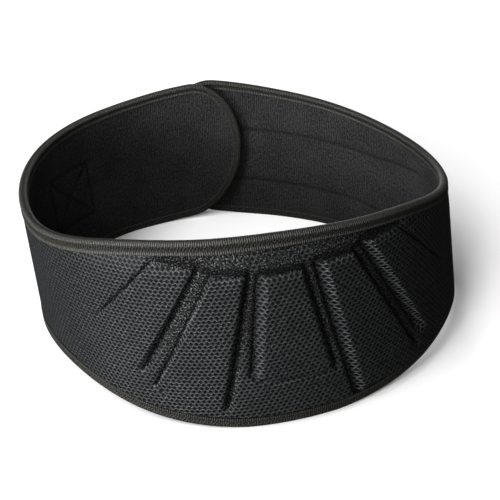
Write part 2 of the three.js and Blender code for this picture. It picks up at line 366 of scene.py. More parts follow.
class Value:
    """A shader socket that takes part in plain arithmetic."""

    def __init__(self, sheet: "FinishSheet", socket: bpy.types.NodeSocket) -> None:
        """Wraps a socket of a finish sheet."""
        self.sheet = sheet
        self.socket = socket

    def maths(self, operation: str, *others: "Value | float") -> "Value":
        """Feeds this value and others to one Math node."""
        return self.sheet.maths(operation, self, *others)

    def __add__(self, other: "Value | float") -> "Value":
        """The sum."""
        return self.maths("ADD", other)

    def __radd__(self, other: float) -> "Value":
        """The sum, with a number on the left."""
        return self.maths("ADD", other)

    def __sub__(self, other: "Value | float") -> "Value":
        """The difference."""
        return self.maths("SUBTRACT", other)

    def __rsub__(self, other: float) -> "Value":
        """The difference, with a number on the left."""
        return self.sheet.maths("SUBTRACT", other, self)

    def __mul__(self, other: "Value | float") -> "Value":
        """The product."""
        return self.maths("MULTIPLY", other)

    def __rmul__(self, other: float) -> "Value":
        """The product, with a number on the left."""
        return self.maths("MULTIPLY", other)

    def __truediv__(self, other: "Value | float") -> "Value":
        """The quotient."""
        return self.maths("DIVIDE", other)

    def __pow__(self, other: float) -> "Value":
        """The power."""
        return self.maths("POWER", other)

    def off_centre(self) -> "Value":
        """How far the value is from the nearest whole number."""
        return self - self.maths("ROUND")

    def smooth(self, low: float, high: float) -> "Value":
        """Goes smoothly from 0 to 1.

        Args:
            low: where it is 0. It may be the larger of the two.
            high: where it is 1.

        Returns:
            The smooth step.
        """
        settings = {"interpolation_type": "SMOOTHSTEP"}
        rising = low < high
        inputs = {
            "Value": self,
            "From Min": min(low, high),
            "From Max": max(low, high),
            "To Min": 0.0 if rising else 1.0,
            "To Max": 1.0 if rising else 0.0,
        }
        return self.sheet.node("ShaderNodeMapRange", settings, inputs, "Result")


class FinishSheet:
    """The node tree of one finish."""

    def __init__(self, name: str) -> None:
        """Starts an empty material.

        Args:
            name: its name.
        """
        self.material = bpy.data.materials.new(name)
        self.material.use_nodes = True
        self.tree = self.material.node_tree
        self.tree.nodes.clear()

    def node(
        self,
        kind: str,
        settings: dict[str, object] | None = None,
        inputs: dict[str | int, "Value | float | tuple | None"] | None = None,
        output: str | int = 0,
    ) -> Value:
        """Adds a node.

        Args:
            kind: the node's type.
            settings: its own settings, which are set first.
            inputs: values or links for its sockets, by name or number.
            output: the output that is wanted.

        Returns:
            That output.
        """
        made = self.tree.nodes.new(kind)
        for name, setting in (settings or {}).items():
            setattr(made, name, setting)
        for name, given in (inputs or {}).items():
            if isinstance(given, Value):
                self.tree.links.new(given.socket, made.inputs[name])
            elif given is not None:
                made.inputs[name].default_value = given
        return Value(self, made.outputs[output])

    def maths(self, operation: str, *values: "Value | float") -> Value:
        """Adds a Math node on values or numbers."""
        return self.node("ShaderNodeMath", {"operation": operation}, dict(enumerate(values)))

    def cloth_place(self) -> tuple[Value, Value]:
        """The place on the flat cloth.

        Returns:
            How far it is along and across the cloth, in millimetres.
        """
        place = self.node("ShaderNodeUVMap", {"uv_map": CLOTH_MAP})
        along = self.node("ShaderNodeSeparateXYZ", None, {0: place}, "X")
        across = self.node("ShaderNodeSeparateXYZ", None, {0: place}, "Y")
        return along / MM, across / MM

    def cloth_grain(self, size: float, detail: float, stretch: float = 1.0) -> Value:
        """Noise on the flat cloth.

        Args:
            size: the size of its blotches, in millimetres.
            detail: how much finer noise it carries.
            stretch: how many times longer the blotches are across the cloth than along it.

        Returns:
            The noise, from 0 to 1.
        """
        place = self.node("ShaderNodeUVMap", {"uv_map": CLOTH_MAP})
        sized = {"Vector": place, "Scale": (1.0, 1.0 / stretch, 1.0)}
        laid = self.node("ShaderNodeMapping", None, sized)
        noise = {"Vector": laid, "Scale": 1.0 / (size * MM), "Detail": detail}
        return self.node("ShaderNodeTexNoise", None, noise, "Fac")

    def attribute(self, name: str) -> Value:
        """Reads a number that the mesh holds at its points."""
        return self.node("ShaderNodeAttribute", {"attribute_name": name}, None, "Fac")

    def blend(self, share: Value | float, first: object, second: object) -> Value:
        """Mixes two colours.

        Args:
            share: how much there is of the second, from 0 to 1.
            first: the first colour, a link or a plain colour.
            second: the second colour, likewise.

        Returns:
            The mixed colour.
        """
        pair = [c if isinstance(c, Value) else (*c, 1.0) for c in (first, second)]
        inputs = {"Factor": share, **dict(zip(MIX_COLOURS, pair))}
        return self.node("ShaderNodeMix", {"data_type": "RGBA"}, inputs, MIX_RESULT)

    def bump(self, height: Value, distance: float, strength: float = 1.0) -> Value:
        """Turns a height into a bumped normal, full height at distance millimetres."""
        inputs = {"Height": height, "Distance": distance * MM, "Strength": strength}
        return self.node("ShaderNodeBump", None, inputs, "Normal")

    def surface(self, colour: object, roughness: object, **more: object) -> bpy.types.Material:
        """Closes the sheet with one surface.

        Args:
            colour: the base colour, a link or a plain colour.
            roughness: the roughness, a link or a number.
            **more: other sockets of the surface, with _ for a space.

        Returns:
            The material.
        """
        inputs = {"Base Color": colour if isinstance(colour, Value) else (*colour, 1.0)}
        inputs["Roughness"] = roughness
        inputs.update({name.replace("_", " "): value for name, value in more.items()})
        shader = self.node("ShaderNodeBsdfPrincipled", None, inputs)
        end = self.tree.nodes.new("ShaderNodeOutputMaterial")
        self.tree.links.new(shader.socket, end.inputs["Surface"])
        return self.material


# The finishes


@dataclass(frozen=True)
class HoleLattice:
    """The staggered lattice of holes in the mesh cloth, in millimetres and degrees.

    The cloth lies a little turned on the belt. It is drawn tighter at the left of the pads than
    at their right: drift is how much it is shifted by that, spread over drift_reach.
    """

    pitch: float = 4.0
    row: float = 2.84
    turn: float = 4.5
    drift: float = 20.0
    drift_reach: float = 120.0

    def distances(self, along: Value, across: Value) -> tuple[Value, Value, Value]:
        """Finds the nearest holes.

        Args:
            along: places along the cloth.
            across: places across it.

        Returns:
            How far a place is from the nearest hole of the even and of the odd rows, and how
            high it is above the nearer of the two, in rows.
        """
        turn = math.radians(self.turn)
        reach = along / self.drift_reach
        shift = self.drift * reach * reach / (1 + reach * reach)
        level = along * math.cos(turn) + across * math.sin(turn) - shift
        upright = across * math.cos(turn) - along * math.sin(turn)
        found, raised = [], []
        for offset in (0.0, 0.5):
            x = (level / self.pitch - offset).off_centre() * self.pitch
            y = (upright / (2 * self.row) - offset).off_centre() * (2 * self.row)
            found.append((x * x + y * y).maths("SQRT"))
            raised.append(y / self.row)
        odd_nearer = found[0].maths("GREATER_THAN", found[1])
        above = raised[0] + odd_nearer * (raised[1] - raised[0])
        return found[0], found[1], above


@dataclass(frozen=True)
class MeshCloth:
    """Open-hole spacer mesh over foam.

    The yarn runs in zigzags between the rows of holes. It is painted paler above each hole than
    below it, as a painted highlight, and paler still where painted light falls on the cloth.
    Where the cloth is pressed down, its holes close up and only a fine broken grain is left, and
    where painted shade is strong it is painted near black. The grains are sizes of noise on the
    flat cloth, in millimetres.
    """

    lattice: HoleLattice
    zigzag: tuple[float, float, float] = (0.27, 0.278, 0.286)
    # The pale colour that painted light draws the zigzag yarn towards.
    painted_light: tuple[float, float, float] = (0.95, 0.97, 0.99)
    yarn: tuple[float, float, float] = (0.034, 0.036, 0.038)
    hole: tuple[float, float, float] = (0.003, 0.003, 0.0033)
    hole_edge: tuple[float, float] = (0.98, 0.55)
    zigzag_edge: tuple[float, float] = (1.1, 0.3)
    wander_grain: float = 2.4
    wander_along: float = 1.1
    wander_across: float = 0.8
    fuzz_grain: float = 0.6
    fuzz: float = 0.9
    blotch_grain: float = 2.6
    ragged: float = 3.2
    strand_grain: float = 1.0
    patch_grain: float = 30.0
    speck_grain: float = 1.15
    closed_share: float = 0.7
    relief: float = 2.4
    roughness: float = 0.5
    specular: float = 0.25

    def make(self) -> bpy.types.Material:
        """Builds the finish.

        Returns:
            The material.
        """
        sheet = FinishSheet("mesh_cloth")
        along, across = sheet.cloth_place()
        wander = sheet.cloth_grain(self.wander_grain, 1.0) - 0.5
        along = along + wander * self.wander_along
        across = across - wander * self.wander_across
        even, odd, above = self.lattice.distances(along, across)
        fuzz = (sheet.cloth_grain(self.fuzz_grain, 2.0) - 0.5) * self.fuzz
        blotch = sheet.cloth_grain(self.blotch_grain, 2.0) - 0.5
        # The share of pressing and painted shade: pressing closes the holes, painted shade darkens
        # the cloth.
        pressed = sheet.attribute(PRESSED_AND_PAINTED_SHADE)
        pressed = pressed + blotch * (pressed * (1 - pressed)) * self.ragged
        flat = pressed.smooth(0.3, 0.55)
        deep = pressed.smooth(0.55, 0.85)
        open_yarn = 1 - flat * self.closed_share
        open_hole = (even.maths("MINIMUM", odd) + fuzz).smooth(*self.hole_edge) * open_yarn
        zigzag = (even - odd).maths("ABSOLUTE").smooth(*self.zigzag_edge)
        strands = sheet.cloth_grain(self.strand_grain, 1.0).smooth(0.35, 0.65)
        # Painted highlight: the zigzag yarn is painted paler on the upper side of each hole than
        # below it.
        zigzag = zigzag * (0.35 + above.smooth(-0.45, 0.3) * 0.65)
        zigzag = zigzag * (0.35 + strands * 0.65) * open_yarn
        mottle = blotch.smooth(0.0, 0.16) * sheet.attribute(PAINTED_LIGHT).smooth(0.4, 0.1)
        zigzag = zigzag * (1 - mottle * 0.7)
        patches = sheet.cloth_grain(self.patch_grain, 2.0).smooth(0.3, 0.75)
        specks = sheet.cloth_grain(self.speck_grain, 1.0).smooth(0.5, 0.62)
        # Painted light: the zigzag yarn is paler where the light falls strongest.
        pale = sheet.blend(sheet.attribute(PAINTED_LIGHT), self.zigzag, self.painted_light)
        colour = sheet.blend(zigzag, self.yarn, pale)
        grain = sheet.blend(specks * 0.8, self.hole, pale)
        colour = sheet.blend(flat * 0.8, colour, grain)
        colour = sheet.blend(open_hole * 0.95, colour, self.hole)
        # Painted shade: where the share is high, the cloth is painted the holes' near black, in the
        # grooves, along the pads' tops and above the lower tape.
        deep = (deep * (0.95 - specks * 0.3)).maths("MAXIMUM", mottle * 0.4)
        colour = sheet.blend(deep.maths("MAXIMUM", patches * 0.2), colour, self.hole)
        height = zigzag * 0.8 + (1 - open_hole) * 0.5 + specks * flat * 0.5
        rough = sheet.maths("ADD", flat * 0.3, self.roughness)
        normal = sheet.bump(height, self.relief)
        return sheet.surface(colour, rough, Normal=normal, Specular_IOR_Level=self.specular)


@dataclass(frozen=True)
class RibKnit:
    """Fine ribbed knit on neoprene: charcoal, with a little pale lint."""

    yarn: tuple[float, float, float] = (0.1, 0.1, 0.101)
    shade: tuple[float, float, float] = (0.016, 0.016, 0.017)
    sewn: tuple[float, float, float] = (0.009, 0.009, 0.01)
    lint: tuple[float, float, float] = (0.45, 0.42, 0.36)
    rib: float = 1.9
    sway_grain: float = 4.0
    sway: float = 2.6
    loop_grain: float = 1.0
    patch_grain: float = 30.0
    lint_grain: float = 2.0
    relief: float = 0.3
    roughness: float = 0.9

    def make(self) -> bpy.types.Material:
        """Builds the finish.

        Returns:
            The material.
        """
        sheet = FinishSheet("rib_knit")
        along, _ = sheet.cloth_place()
        sway = (sheet.cloth_grain(self.sway_grain, 1.0, 3.0) - 0.5) * self.sway
        rib = ((along + sway) * (2 * math.pi / self.rib)).maths("SINE") * 0.5 + 0.5
        loops = sheet.cloth_grain(self.loop_grain, 2.0, 2.4).smooth(0.3, 0.7)
        patches = sheet.cloth_grain(self.patch_grain, 3.0)
        light = rib * 0.35 + loops * 0.65 + (0.5 - patches) * 0.5
        colour = sheet.blend(light.smooth(0.15, 1.1), self.shade, self.yarn)
        speck = sheet.cloth_grain(self.lint_grain, 0.0).smooth(0.86, 0.9)
        colour = sheet.blend(speck * 0.6, colour, self.lint)
        colour = sheet.blend(sheet.attribute(PRESSED_AND_PAINTED_SHADE) * 0.6, colour, self.sewn)
        normal = sheet.bump(rib * 0.5 + loops * 0.7, self.relief)
        return sheet.surface(colour, self.roughness, Normal=normal)


@dataclass(frozen=True)
class WovenTape:
    """Ribbed woven edge tape: ribs across its shoulders and its edges, a dull twill between."""

    rib_top: tuple[float, float, float] = (0.23, 0.225, 0.196)
    yarn: tuple[float, float, float] = (0.095, 0.093, 0.081)
    gap: tuple[float, float, float] = (0.006, 0.006, 0.005)
    rib: float = 1.55
    twill: float = 2.3
    lean: float = 0.7
    sway_grain: float = 3.0
    sway: float = 0.8
    yarn_grain: float = 1.3
    relief: float = 0.4
    roughness: float = 0.55

    def make(self) -> bpy.types.Material:
        """Builds the finish.

        Returns:
            The material.
        """
        sheet = FinishSheet("woven_tape")
        along, across = sheet.cloth_place()
        sway = (sheet.cloth_grain(self.sway_grain, 1.0, 2.0) - 0.5) * self.sway
        turns = (along + sway) * (2 * math.pi / self.rib)
        rib = (turns.maths("SINE") * 0.5 + 0.5).smooth(0.25, 0.8)
        grain = sheet.cloth_grain(self.yarn_grain, 1.0).smooth(0.35, 0.65)
        slant = (along + across * self.lean) * (2 * math.pi / self.twill)
        weft = slant.maths("SINE") * 0.5 + 0.5
        sewn = sheet.attribute(PRESSED_AND_PAINTED_SHADE).smooth(0.2, 0.8)
        speckle = (weft * 0.5 + grain * 0.35 + rib * 0.3).smooth(0.42, 0.88)
        ribbed = sheet.blend(rib * (0.45 + grain * 0.6), self.gap, self.rib_top)
        dull = sheet.blend(speckle, self.gap, self.yarn)
        colour = sheet.blend(sewn, ribbed, dull)
        # Darker at the very top of the fold, and a painted shadow on the outer leg's rim.
        colour = sheet.blend(sheet.attribute(FOLD_AND_RIM_SHADOW) * 0.8, colour, self.gap)
        height = rib * 0.8 * (1 - sewn * 0.6) + speckle * sewn * 0.6 + grain * 0.2
        return sheet.surface(colour, self.roughness, Normal=sheet.bump(height, self.relief))


@dataclass(frozen=True)
class HookTape:
    """Black hook and loop tape."""

    colour: tuple[float, float, float] = (0.012, 0.012, 0.013)
    pile: tuple[float, float, float] = (0.035, 0.035, 0.037)
    pile_grain: float = 0.9
    relief: float = 0.5
    roughness: float = 0.8

    def make(self) -> bpy.types.Material:
        """Builds the finish.

        Returns:
            The material.
        """
        sheet = FinishSheet("hook_tape")
        pile = sheet.cloth_grain(self.pile_grain, 2.0)
        colour = sheet.blend(pile.smooth(0.3, 0.7), self.colour, self.pile)
        return sheet.surface(colour, self.roughness, Normal=sheet.bump(pile, self.relief))


@dataclass(frozen=True)
class Thread:
    """Twisted sewing thread."""

    name: str
    colour: tuple[float, float, float]
    twist_grain: float = 0.4
    relief: float = 0.1
    roughness: float = 0.6

    def make(self) -> bpy.types.Material:
        """Builds the finish.

        Returns:
            The material.
        """
        sheet = FinishSheet(self.name)
        place = sheet.node("ShaderNodeTexCoord", None, None, "Object")
        noise = {"Vector": place, "Scale": 1.0 / (self.twist_grain * MM), "Detail": 1.0}
        twist = sheet.node("ShaderNodeTexNoise", None, noise, "Fac")
        dark = tuple(c * 0.5 for c in self.colour)
        colour = sheet.blend(twist.smooth(0.35, 0.65), self.colour, dark)
        return sheet.surface(colour, self.roughness, Normal=sheet.bump(twist, self.relief))


# Making pieces


class Side(Enum):
    """The two faces of the wall."""

    OUTER = 1
    INNER = -1


def clear_selection() -> None:
    """Leaves edit mode and selects nothing."""
    if bpy.context.object and bpy.context.object.mode != "OBJECT":
        bpy.ops.object.mode_set(mode="OBJECT")
    bpy.ops.object.select_all(action="DESELECT")


def take(piece: bpy.types.Object) -> None:
    """Makes a piece the only selected and the active one.

    Args:
        piece: the piece.
    """
    clear_selection()
    piece.select_set(True)
    bpy.context.view_layer.objects.active = piece


def flat_places(piece: bpy.types.Object) -> np.ndarray:
    """Reads the places of a piece's points.

    Args:
        piece: the piece.

    Returns:
        One place a row, in metres.
    """
    places = np.empty(len(piece.data.vertices) * 3)
    piece.data.vertices.foreach_get("co", places)
    return places.reshape(-1, 3)


def set_places(piece: bpy.types.Object, places: np.ndarray) -> None:
    """Moves a piece's points."""
    piece.data.vertices.foreach_set("co", places.ravel())
    piece.data.update()


def lay_cloth_map(piece: bpy.types.Object, places: np.ndarray) -> None:
    """Gives a piece the map of its flat cloth.

    Args:
        piece: the piece.
        places: each point's place on the flat cloth, in metres.
    """
    mesh = piece.data
    layer = mesh.uv_layers.get(CLOTH_MAP) or mesh.uv_layers.new(name=CLOTH_MAP)
    corners = np.empty(len(mesh.loops), int)
    mesh.loops.foreach_get("vertex_index", corners)
    layer.uv.foreach_set("vector", places[corners, :2].ravel())
    for other in [u for u in mesh.uv_layers if u.name != CLOTH_MAP]:
        mesh.uv_layers.remove(other)


def set_share(piece: bpy.types.Object, name: str, values: np.ndarray) -> None:
    """Stores a share for each point of a piece, such as how much it is pressed down."""
    made = piece.data.attributes.new(name, "FLOAT", "POINT")
    made.data.foreach_set("value", np.clip(values, 0, 1).astype(np.float32))


def set_mark(piece: bpy.types.Object, wanted: np.ndarray) -> None:
    """Marks points of a piece, for after it has changed."""
    made = piece.data.attributes.new(MARK, "FLOAT", "POINT")
    made.data.foreach_set("value", wanted.astype(np.float32))


def read_mark(piece: bpy.types.Object) -> np.ndarray:
    """Reads and removes the mark of a piece's points.

    Args:
        piece: the piece.

    Returns:
        Whether each point is marked.
    """
    mesh = piece.data
    values = np.empty(len(mesh.vertices), np.float32)
    mesh.attributes[MARK].data.foreach_get("value", values)
    mesh.attributes.remove(mesh.attributes[MARK])
    return values > 0.5


def thicken(piece: bpy.types.Object) -> None:
    """Gives a flat sheet a back below it.

    Args:
        piece: the sheet.
    """
    take(piece)
    solid = piece.modifiers.new("thickness", "SOLIDIFY")
    solid.thickness = DRAFT_THICKNESS * MM
    solid.offset = -1
    bpy.ops.object.modifier_apply(modifier=solid.name)


def thin_out(piece: bpy.types.Object, hidden: np.ndarray, keep: int) -> None:
    """Makes the hidden face of a piece coarser.

    Args:
        piece: the piece, whose other points stay.
        hidden: marks the points that may go.
        keep: about how many triangles the hidden face keeps.
    """
    take(piece)
    group = piece.vertex_groups.new(name="hidden")
    group.add(np.flatnonzero(hidden).tolist(), 1.0, "REPLACE")
    corners = sum(len(p.vertices) - 2 for p in piece.data.polygons)
    going = sum(
        len(p.vertices) - 2 for p in piece.data.polygons if all(hidden[v] for v in p.vertices)
    )
    thin = piece.modifiers.new("thin", "DECIMATE")
    thin.vertex_group = group.name
    thin.ratio = (corners - going + keep) / corners
    bpy.ops.object.modifier_apply(modifier=thin.name)
    piece.vertex_groups.clear()


def finish_piece(
    piece: bpy.types.Object, name: str, finish: bpy.types.Material, slot: str, *nodes: str
) -> bpy.types.Object:
    """Names, smooths and dresses a piece, and lets it stand for the plain solids.

    Args:
        piece: the piece.
        name: its name.
        finish: its finish.
        slot: not used.
        *nodes: the plain solids that it replaces.

    Returns:
        The piece.
    """
    take(piece)
    bpy.ops.object.shade_smooth()
    piece.name = piece.data.name = name
    piece.data.materials.clear()
    piece.data.materials.append(finish)
    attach(piece, "root")
    if nodes:
        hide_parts(*nodes)
    faces = sum(len(p.vertices) - 2 for p in piece.data.polygons)
    log.info("%s: %d triangles", name, faces)
    return piece


# The moulded relief


def ease(value: np.ndarray) -> np.ndarray:
    """A smooth step from 0 to 1."""
    value = np.clip(value, 0, 1)
    return value * value * (3 - 2 * value)


def ridge(gap: np.ndarray, width: float) -> np.ndarray:
    """A soft ridge, 1 where the gap is 0."""
    return np.exp(-((gap / width) ** 2))


@dataclass(frozen=True)
class PadSide:
    """One side of a lumbar pad: a straight line down the fan, in millimetres.

    pad is 1 if the pad lies to the right of the line, -1 if it lies to the left, and 0 for a
    thin crease. The wall is how far the pad's flank runs into the pad, and the reach how far the
    painted shade of its groove spreads beside the line. Below its low end the line fades, and
    its course keeps only a share of its slant.
    """

    top: tuple[float, float]
    low: tuple[float, float]
    pad: int
    drop: float = 1.0
    wall: float = 1.5
    reach: float = 2.0
    fade: float = 8.0
    slant_below: float = 1.0

    @property
    def slant(self) -> float:
        """How far the line runs along the belt for each millimetre of height."""
        return (self.top[0] - self.low[0]) / (self.top[1] - self.low[1])

    def along_at(self, height: np.ndarray) -> np.ndarray:
        """Where the line is at some heights."""
        rise = height - self.low[1]
        return self.low[0] + self.slant * (rise + (self.slant_below - 1) * np.minimum(rise, 0))

    def gap(self, along: np.ndarray, height: np.ndarray) -> np.ndarray:
        """How far places are to the right of the line."""
        return (along - self.along_at(height)) / math.hypot(1, self.slant)

    def depth(self, height: np.ndarray) -> np.ndarray:
        """How deep the line is at some heights, as a share of the pads' thickness."""
        return self.drop * ease((height - self.low[1] + self.fade / 2) / self.fade)


@dataclass(frozen=True)
class Crease:
    """A faint crease between two places of the flat cloth."""

    start: tuple[float, float]
    end: tuple[float, float]
    depth: float
    width: float = 1.3
    end_fade: float = 3.0

    def sunk(self, along: np.ndarray, height: np.ndarray) -> np.ndarray:
        """How deep the crease is.

        Args:
            along: places along the belt.
            height: their heights.

        Returns:
            The depth as a share of the press's full depth.
        """
        run = np.subtract(self.end, self.start)
        length = float(np.hypot(*run))
        way = run / length
        course = (along - self.start[0]) * way[0] + (height - self.start[1]) * way[1]
        aside = (height - self.start[1]) * way[0] - (along - self.start[0]) * way[1]
        past = np.maximum(-course, course - length)
        faded = ease((past + self.end_fade) / (2 * self.end_fade))
        return self.depth * ridge(aside, self.width) * (1 - faded)


@dataclass(frozen=True)
class LumbarFan:
    """The relief of the five lumbar pads. Depths are shares of the press's full depth.

    channels holds, for the channel right of the line of that number, the heights at which its
    floor is full and gone. tops holds, for some places along the belt, the height of the pads'
    tops, and stretch how much painted light pales the cloth there, most on the pads at the left
    that face the light. The table after stretch holds how much more painted highlight lies on
    the flank at the left edge of the pad beside a line of that number, which faces the light.
    Names that end in shade say how much painted shade darkens the cloth.
    """

    sides: tuple[PadSide, ...] = (
        PadSide((-89, 134), (-135, 81), 0, 0.42, reach=1.4, fade=16, slant_below=0.35),
        PadSide((-58, 131), (-101, 46), -1, 0.9, 3.6, 2.5, fade=9),
        PadSide((-49, 128), (-93, 34), 1, 0.7, 2.2, 2.3, fade=5),
        PadSide((-23.7, 127), (-45.2, 19), -1, 1.0, 4.8, 3.0, fade=9),
        PadSide((-18.5, 126), (-27.6, 46), 1, 0.85, 7.0, 1.6, fade=6),
        PadSide((14.1, 128), (33, 41), -1, 1.0, 4.4, 2.2, fade=9),
        PadSide((21.5, 128), (47, 12), 1, 1.0, 7.6, 1.6, fade=6),
        PadSide((53, 128), (107.4, 28), -1, 0.9, 3.4, 2.0, fade=9),
        PadSide((58, 133), (110.2, 40), 1, 1.0, 7.2, 1.6, fade=8),
        PadSide((96, 131), (146, 84), 0, 0.35, reach=1.2, fade=16, slant_below=0.35),
    )
    channels: tuple[tuple[int, float, float], ...] = (
        (1, 80, 30),
        (3, 90, 30),
        (5, 70, 26),
        (7, 80, 20),
    )
    open_tops: tuple[int, ...] = (3, 5)
    creases: tuple[Crease, ...] = (
        Crease((-93, 33), (-86, 28), 0.5),
        Crease((-28.5, 46), (-19, 40.5), 0.6),
        Crease((-19, 40.5), (21, 39.5), 0.25),
        Crease((21, 39.5), (31, 42), 0.25),
        Crease((47, 13), (78, 16), 0.28),
    )
    tops: tuple[tuple[float, float], ...] = (
        (-89, 133.7),
        (-58, 130.7),
        (-49, 126.8),
        (-23.7, 125.8),
        (-18.5, 125),
        (14.1, 126),
        (21.5, 129),
        (53, 130),
        (58, 134),
        (96, 136),
    )
    # Painted light along the belt, strongest on the pads at the left that face the light.
    stretch: tuple[tuple[float, float], ...] = (
        (-165, 0.0),
        (-125, 0.34),
        (-100, 0.36),
        (-80, 0.44),
        (-50, 0.46),
        (-38, 0.32),
        (-20, 0.18),
        (0, 0.13),
        (50, 0.07),
        (90, 0.03),
        (130, 0.06),
    )
    # Painted highlights on the left flanks of the pads, which face the light.
    painted_crest_highlight: tuple[tuple[int, float], ...] = ((4, 0.32), (6, 0.75), (8, 1.3))
    floor: float = 0.5
    groove: float = 1.9
    top_groove: float = 0.5
    top_wall: float = 4.5
    band: float = 0.32
    band_blend: float = 2.6
    broad: float = 6.0
    flank_power: float = 1.55
    sharpness: float = 4.0
    line_width: float = 1.2
    flank_shade: float = 0.5
    flank_shade_end: float = 0.6
    foot_shade: float = 0.8
    foot_width: float = 0.7
    floor_shade: float = 0.5
    seam_shade: float = 0.87
    seam_lip: float = 0.6
    seam_reach: float = 2.4
    band_shade: float = 0.5
    band_line_shade: float = 0.4
    band_line: tuple[float, float] = (4.0, 2.5)
    open_share: float = 0.6
    left_shade: float = 0.12

    def top_at(self, along: np.ndarray, edge: np.ndarray) -> np.ndarray:
        """The height of the pads' tops, which meets the tape's edge beside the fan.

        Args:
            along: places along the belt.
            edge: the height of the tape's lower edge at those places.

        Returns:
            The height at each.
        """
        places, heights = np.array(self.tops, float).T
        inside = np.interp(along, places, heights)
        left = ease((along - places[0] + 8) / 8)
        right = ease((places[-1] + 14 - along) / 14)
        share = left * right
        return np.minimum(edge, edge * (1 - share) + inside * share)

    def under_tops(self, along: np.ndarray, height: np.ndarray, top: np.ndarray) -> np.ndarray:
        """How deep the cloth is pressed under the line of the pads' tops.

        Args:
            along: places along the belt.
            height: their heights.
            top: the height of the pads' tops at those places.

        Returns:
            The depth as a share of the press's full depth.
        """
        parts = []
        gaps = [side.gap(along, height) for side in self.sides]
        depths = [side.depth(height) for side in self.sides]
        for side, gap, depth in zip(self.sides, gaps, depths):
            if side.pad == 0:
                parts.append(depth * ridge(gap, self.line_width))
                continue
            into = np.clip(gap * side.pad / side.wall, 0, 1)
            flank = 1 - into**self.flank_power if side.wall > self.broad else 1 - ease(into)
            parts.append(np.where(gap * side.pad >= 0, depth * flank, 0))
        on_pad = ease((along + 90) / 3) * ease((100 - along) / 3)
        for left, full, gone in self.channels:
            x, y = gaps[left], -gaps[left + 1]
            inside = (x >= 0) & (y >= 0)
            floor = self.floor * ease((height - gone) / (full - gone))
            deep = floor + (depths[left] - floor) * ridge(x, self.groove)
            deep = deep + (depths[left + 1] - floor) * ridge(y, self.groove)
            parts.append(np.where(inside, np.maximum(deep, 0), 0))
            on_pad = on_pad * (1 - ease((np.minimum(x, y) + 1.5) / 1.5))
        under = self.top_groove * (1 - ease((top - height) / self.top_wall))
        parts.append(np.where(height <= top + 0.01, under, self.top_groove) * on_pad)
        parts.extend(crease.sunk(along, height) for crease in self.creases)
        return np.sum([np.abs(part) ** self.sharpness for part in parts], 0) ** (1 / self.sharpness)

    def sunk(self, along: np.ndarray, height: np.ndarray, edge: np.ndarray) -> np.ndarray:
        """How deep the cloth is pressed.

        Args:
            along: places along the belt.
            height: their heights.
            edge: the height of the tape's lower edge at those places.

        Returns:
            The depth as a share of the press's full depth.
        """
        top = self.top_at(along, edge)
        below = self.under_tops(along, np.minimum(height, top), top)
        over = np.maximum(height - top, 0)
        band = self.band * ease((along + 94) / 12) * ease((108 - along) / 14)
        above = band + (below - band) * ridge(over, self.band_blend)
        return np.where(over > 0, above, below)

    def painted_light(self, along: np.ndarray, height: np.ndarray, edge: np.ndarray) -> np.ndarray:
        """How much painted light pales the cloth, with painted highlights on flanks facing the
        light.

        Args:
            along: places along the belt.
            height: their heights.
            edge: the height of the tape's lower edge at those places.

        Returns:
            The share of painted light, mostly from 0 to 1.
        """
        total = np.interp(along, *np.array(self.stretch).T)
        under = ease((self.top_at(along, edge) - height) / 2)
        # Painted highlights on the flanks that face the light.
        for number, more in self.painted_crest_highlight:
            side = self.sides[number]
            gap, depth = side.gap(along, height), side.depth(height)
            rising = ease((gap / side.wall - 0.15) / 0.6)
            falling = 1 - ease((gap - side.wall + 1.0) / 2.5)
            total = total + more * rising * falling * depth / side.drop * under
        return total

    def shade(self, along: np.ndarray, height: np.ndarray, edge: np.ndarray) -> np.ndarray:
        """How much painted shade darkens the mesh; the same share closes up its holes.

        It paints the shadows of the pads' walls in the grooves beside them, shade on the lower
        flanks and on the channel floors, where the mesh is also pressed finer, and a band along and
        above the pads' tops.

        Args:
            along: places along the belt.
            height: their heights.
            edge: the height of the tape's lower edge at those places.

        Returns:
            The share, from 0 to 1.
        """
        top = self.top_at(along, edge)
        under = ease((top + 2 * self.seam_lip - height) / 1.6)
        total = np.zeros_like(along)
        open_top = np.zeros_like(along)
        for side in self.sides:
            gap, depth = side.gap(along, height), side.depth(height)
            # Painted shade in the groove beside the line, the shadow of the pad's wall.
            line = ridge(gap, side.reach)
            if side.pad > 0:
                # Painted shade on the lower part of the flank, fading towards its crest.
                into = gap / side.wall
                start = self.flank_shade_end - 0.5
                flank = self.flank_shade * (1 - ease((into - start) / 0.5)) * (into < 1)
                line = np.where(gap > 0, flank, line)
                line = np.maximum(line, self.foot_shade * ridge(gap, self.foot_width))
            total = np.maximum(total, line * depth / side.drop * under)
        for left, full, gone in self.channels:
            x = self.sides[left].gap(along, height)
            y = -self.sides[left + 1].gap(along, height)
            # Painted shade on the channel floors, where the mesh is also pressed finer.
            floor = self.floor_shade * ease((height - gone) / (full - gone)) * under
            total = np.maximum(total, np.where((x > 0) & (y > 0), floor, 0))
            if left in self.open_tops:
                open_top = np.maximum(open_top, ease(np.minimum(x, y) + 0.5))
        # Painted shade in a band along and above the pads' tops.
        fan = ease((along + 92) / 6) * ease((104 - along) / 8)
        lip = top + self.seam_lip
        below = self.seam_shade * ridge(np.minimum(height - lip, 0), self.seam_reach)
        line_rise, line_reach = self.band_line
        line = ridge(np.maximum(height - top - line_rise, 0), line_reach)
        above = self.band_shade + self.band_line_shade * line
        seam = np.where(height < lip, below, above) * (height <= edge)
        seam = seam * (1 - self.open_share * open_top)
        left = self.left_shade * ease((-45 - along) / 15) * (height > top)
        return np.maximum(total, np.clip(seam + left, 0, 1) * fan)


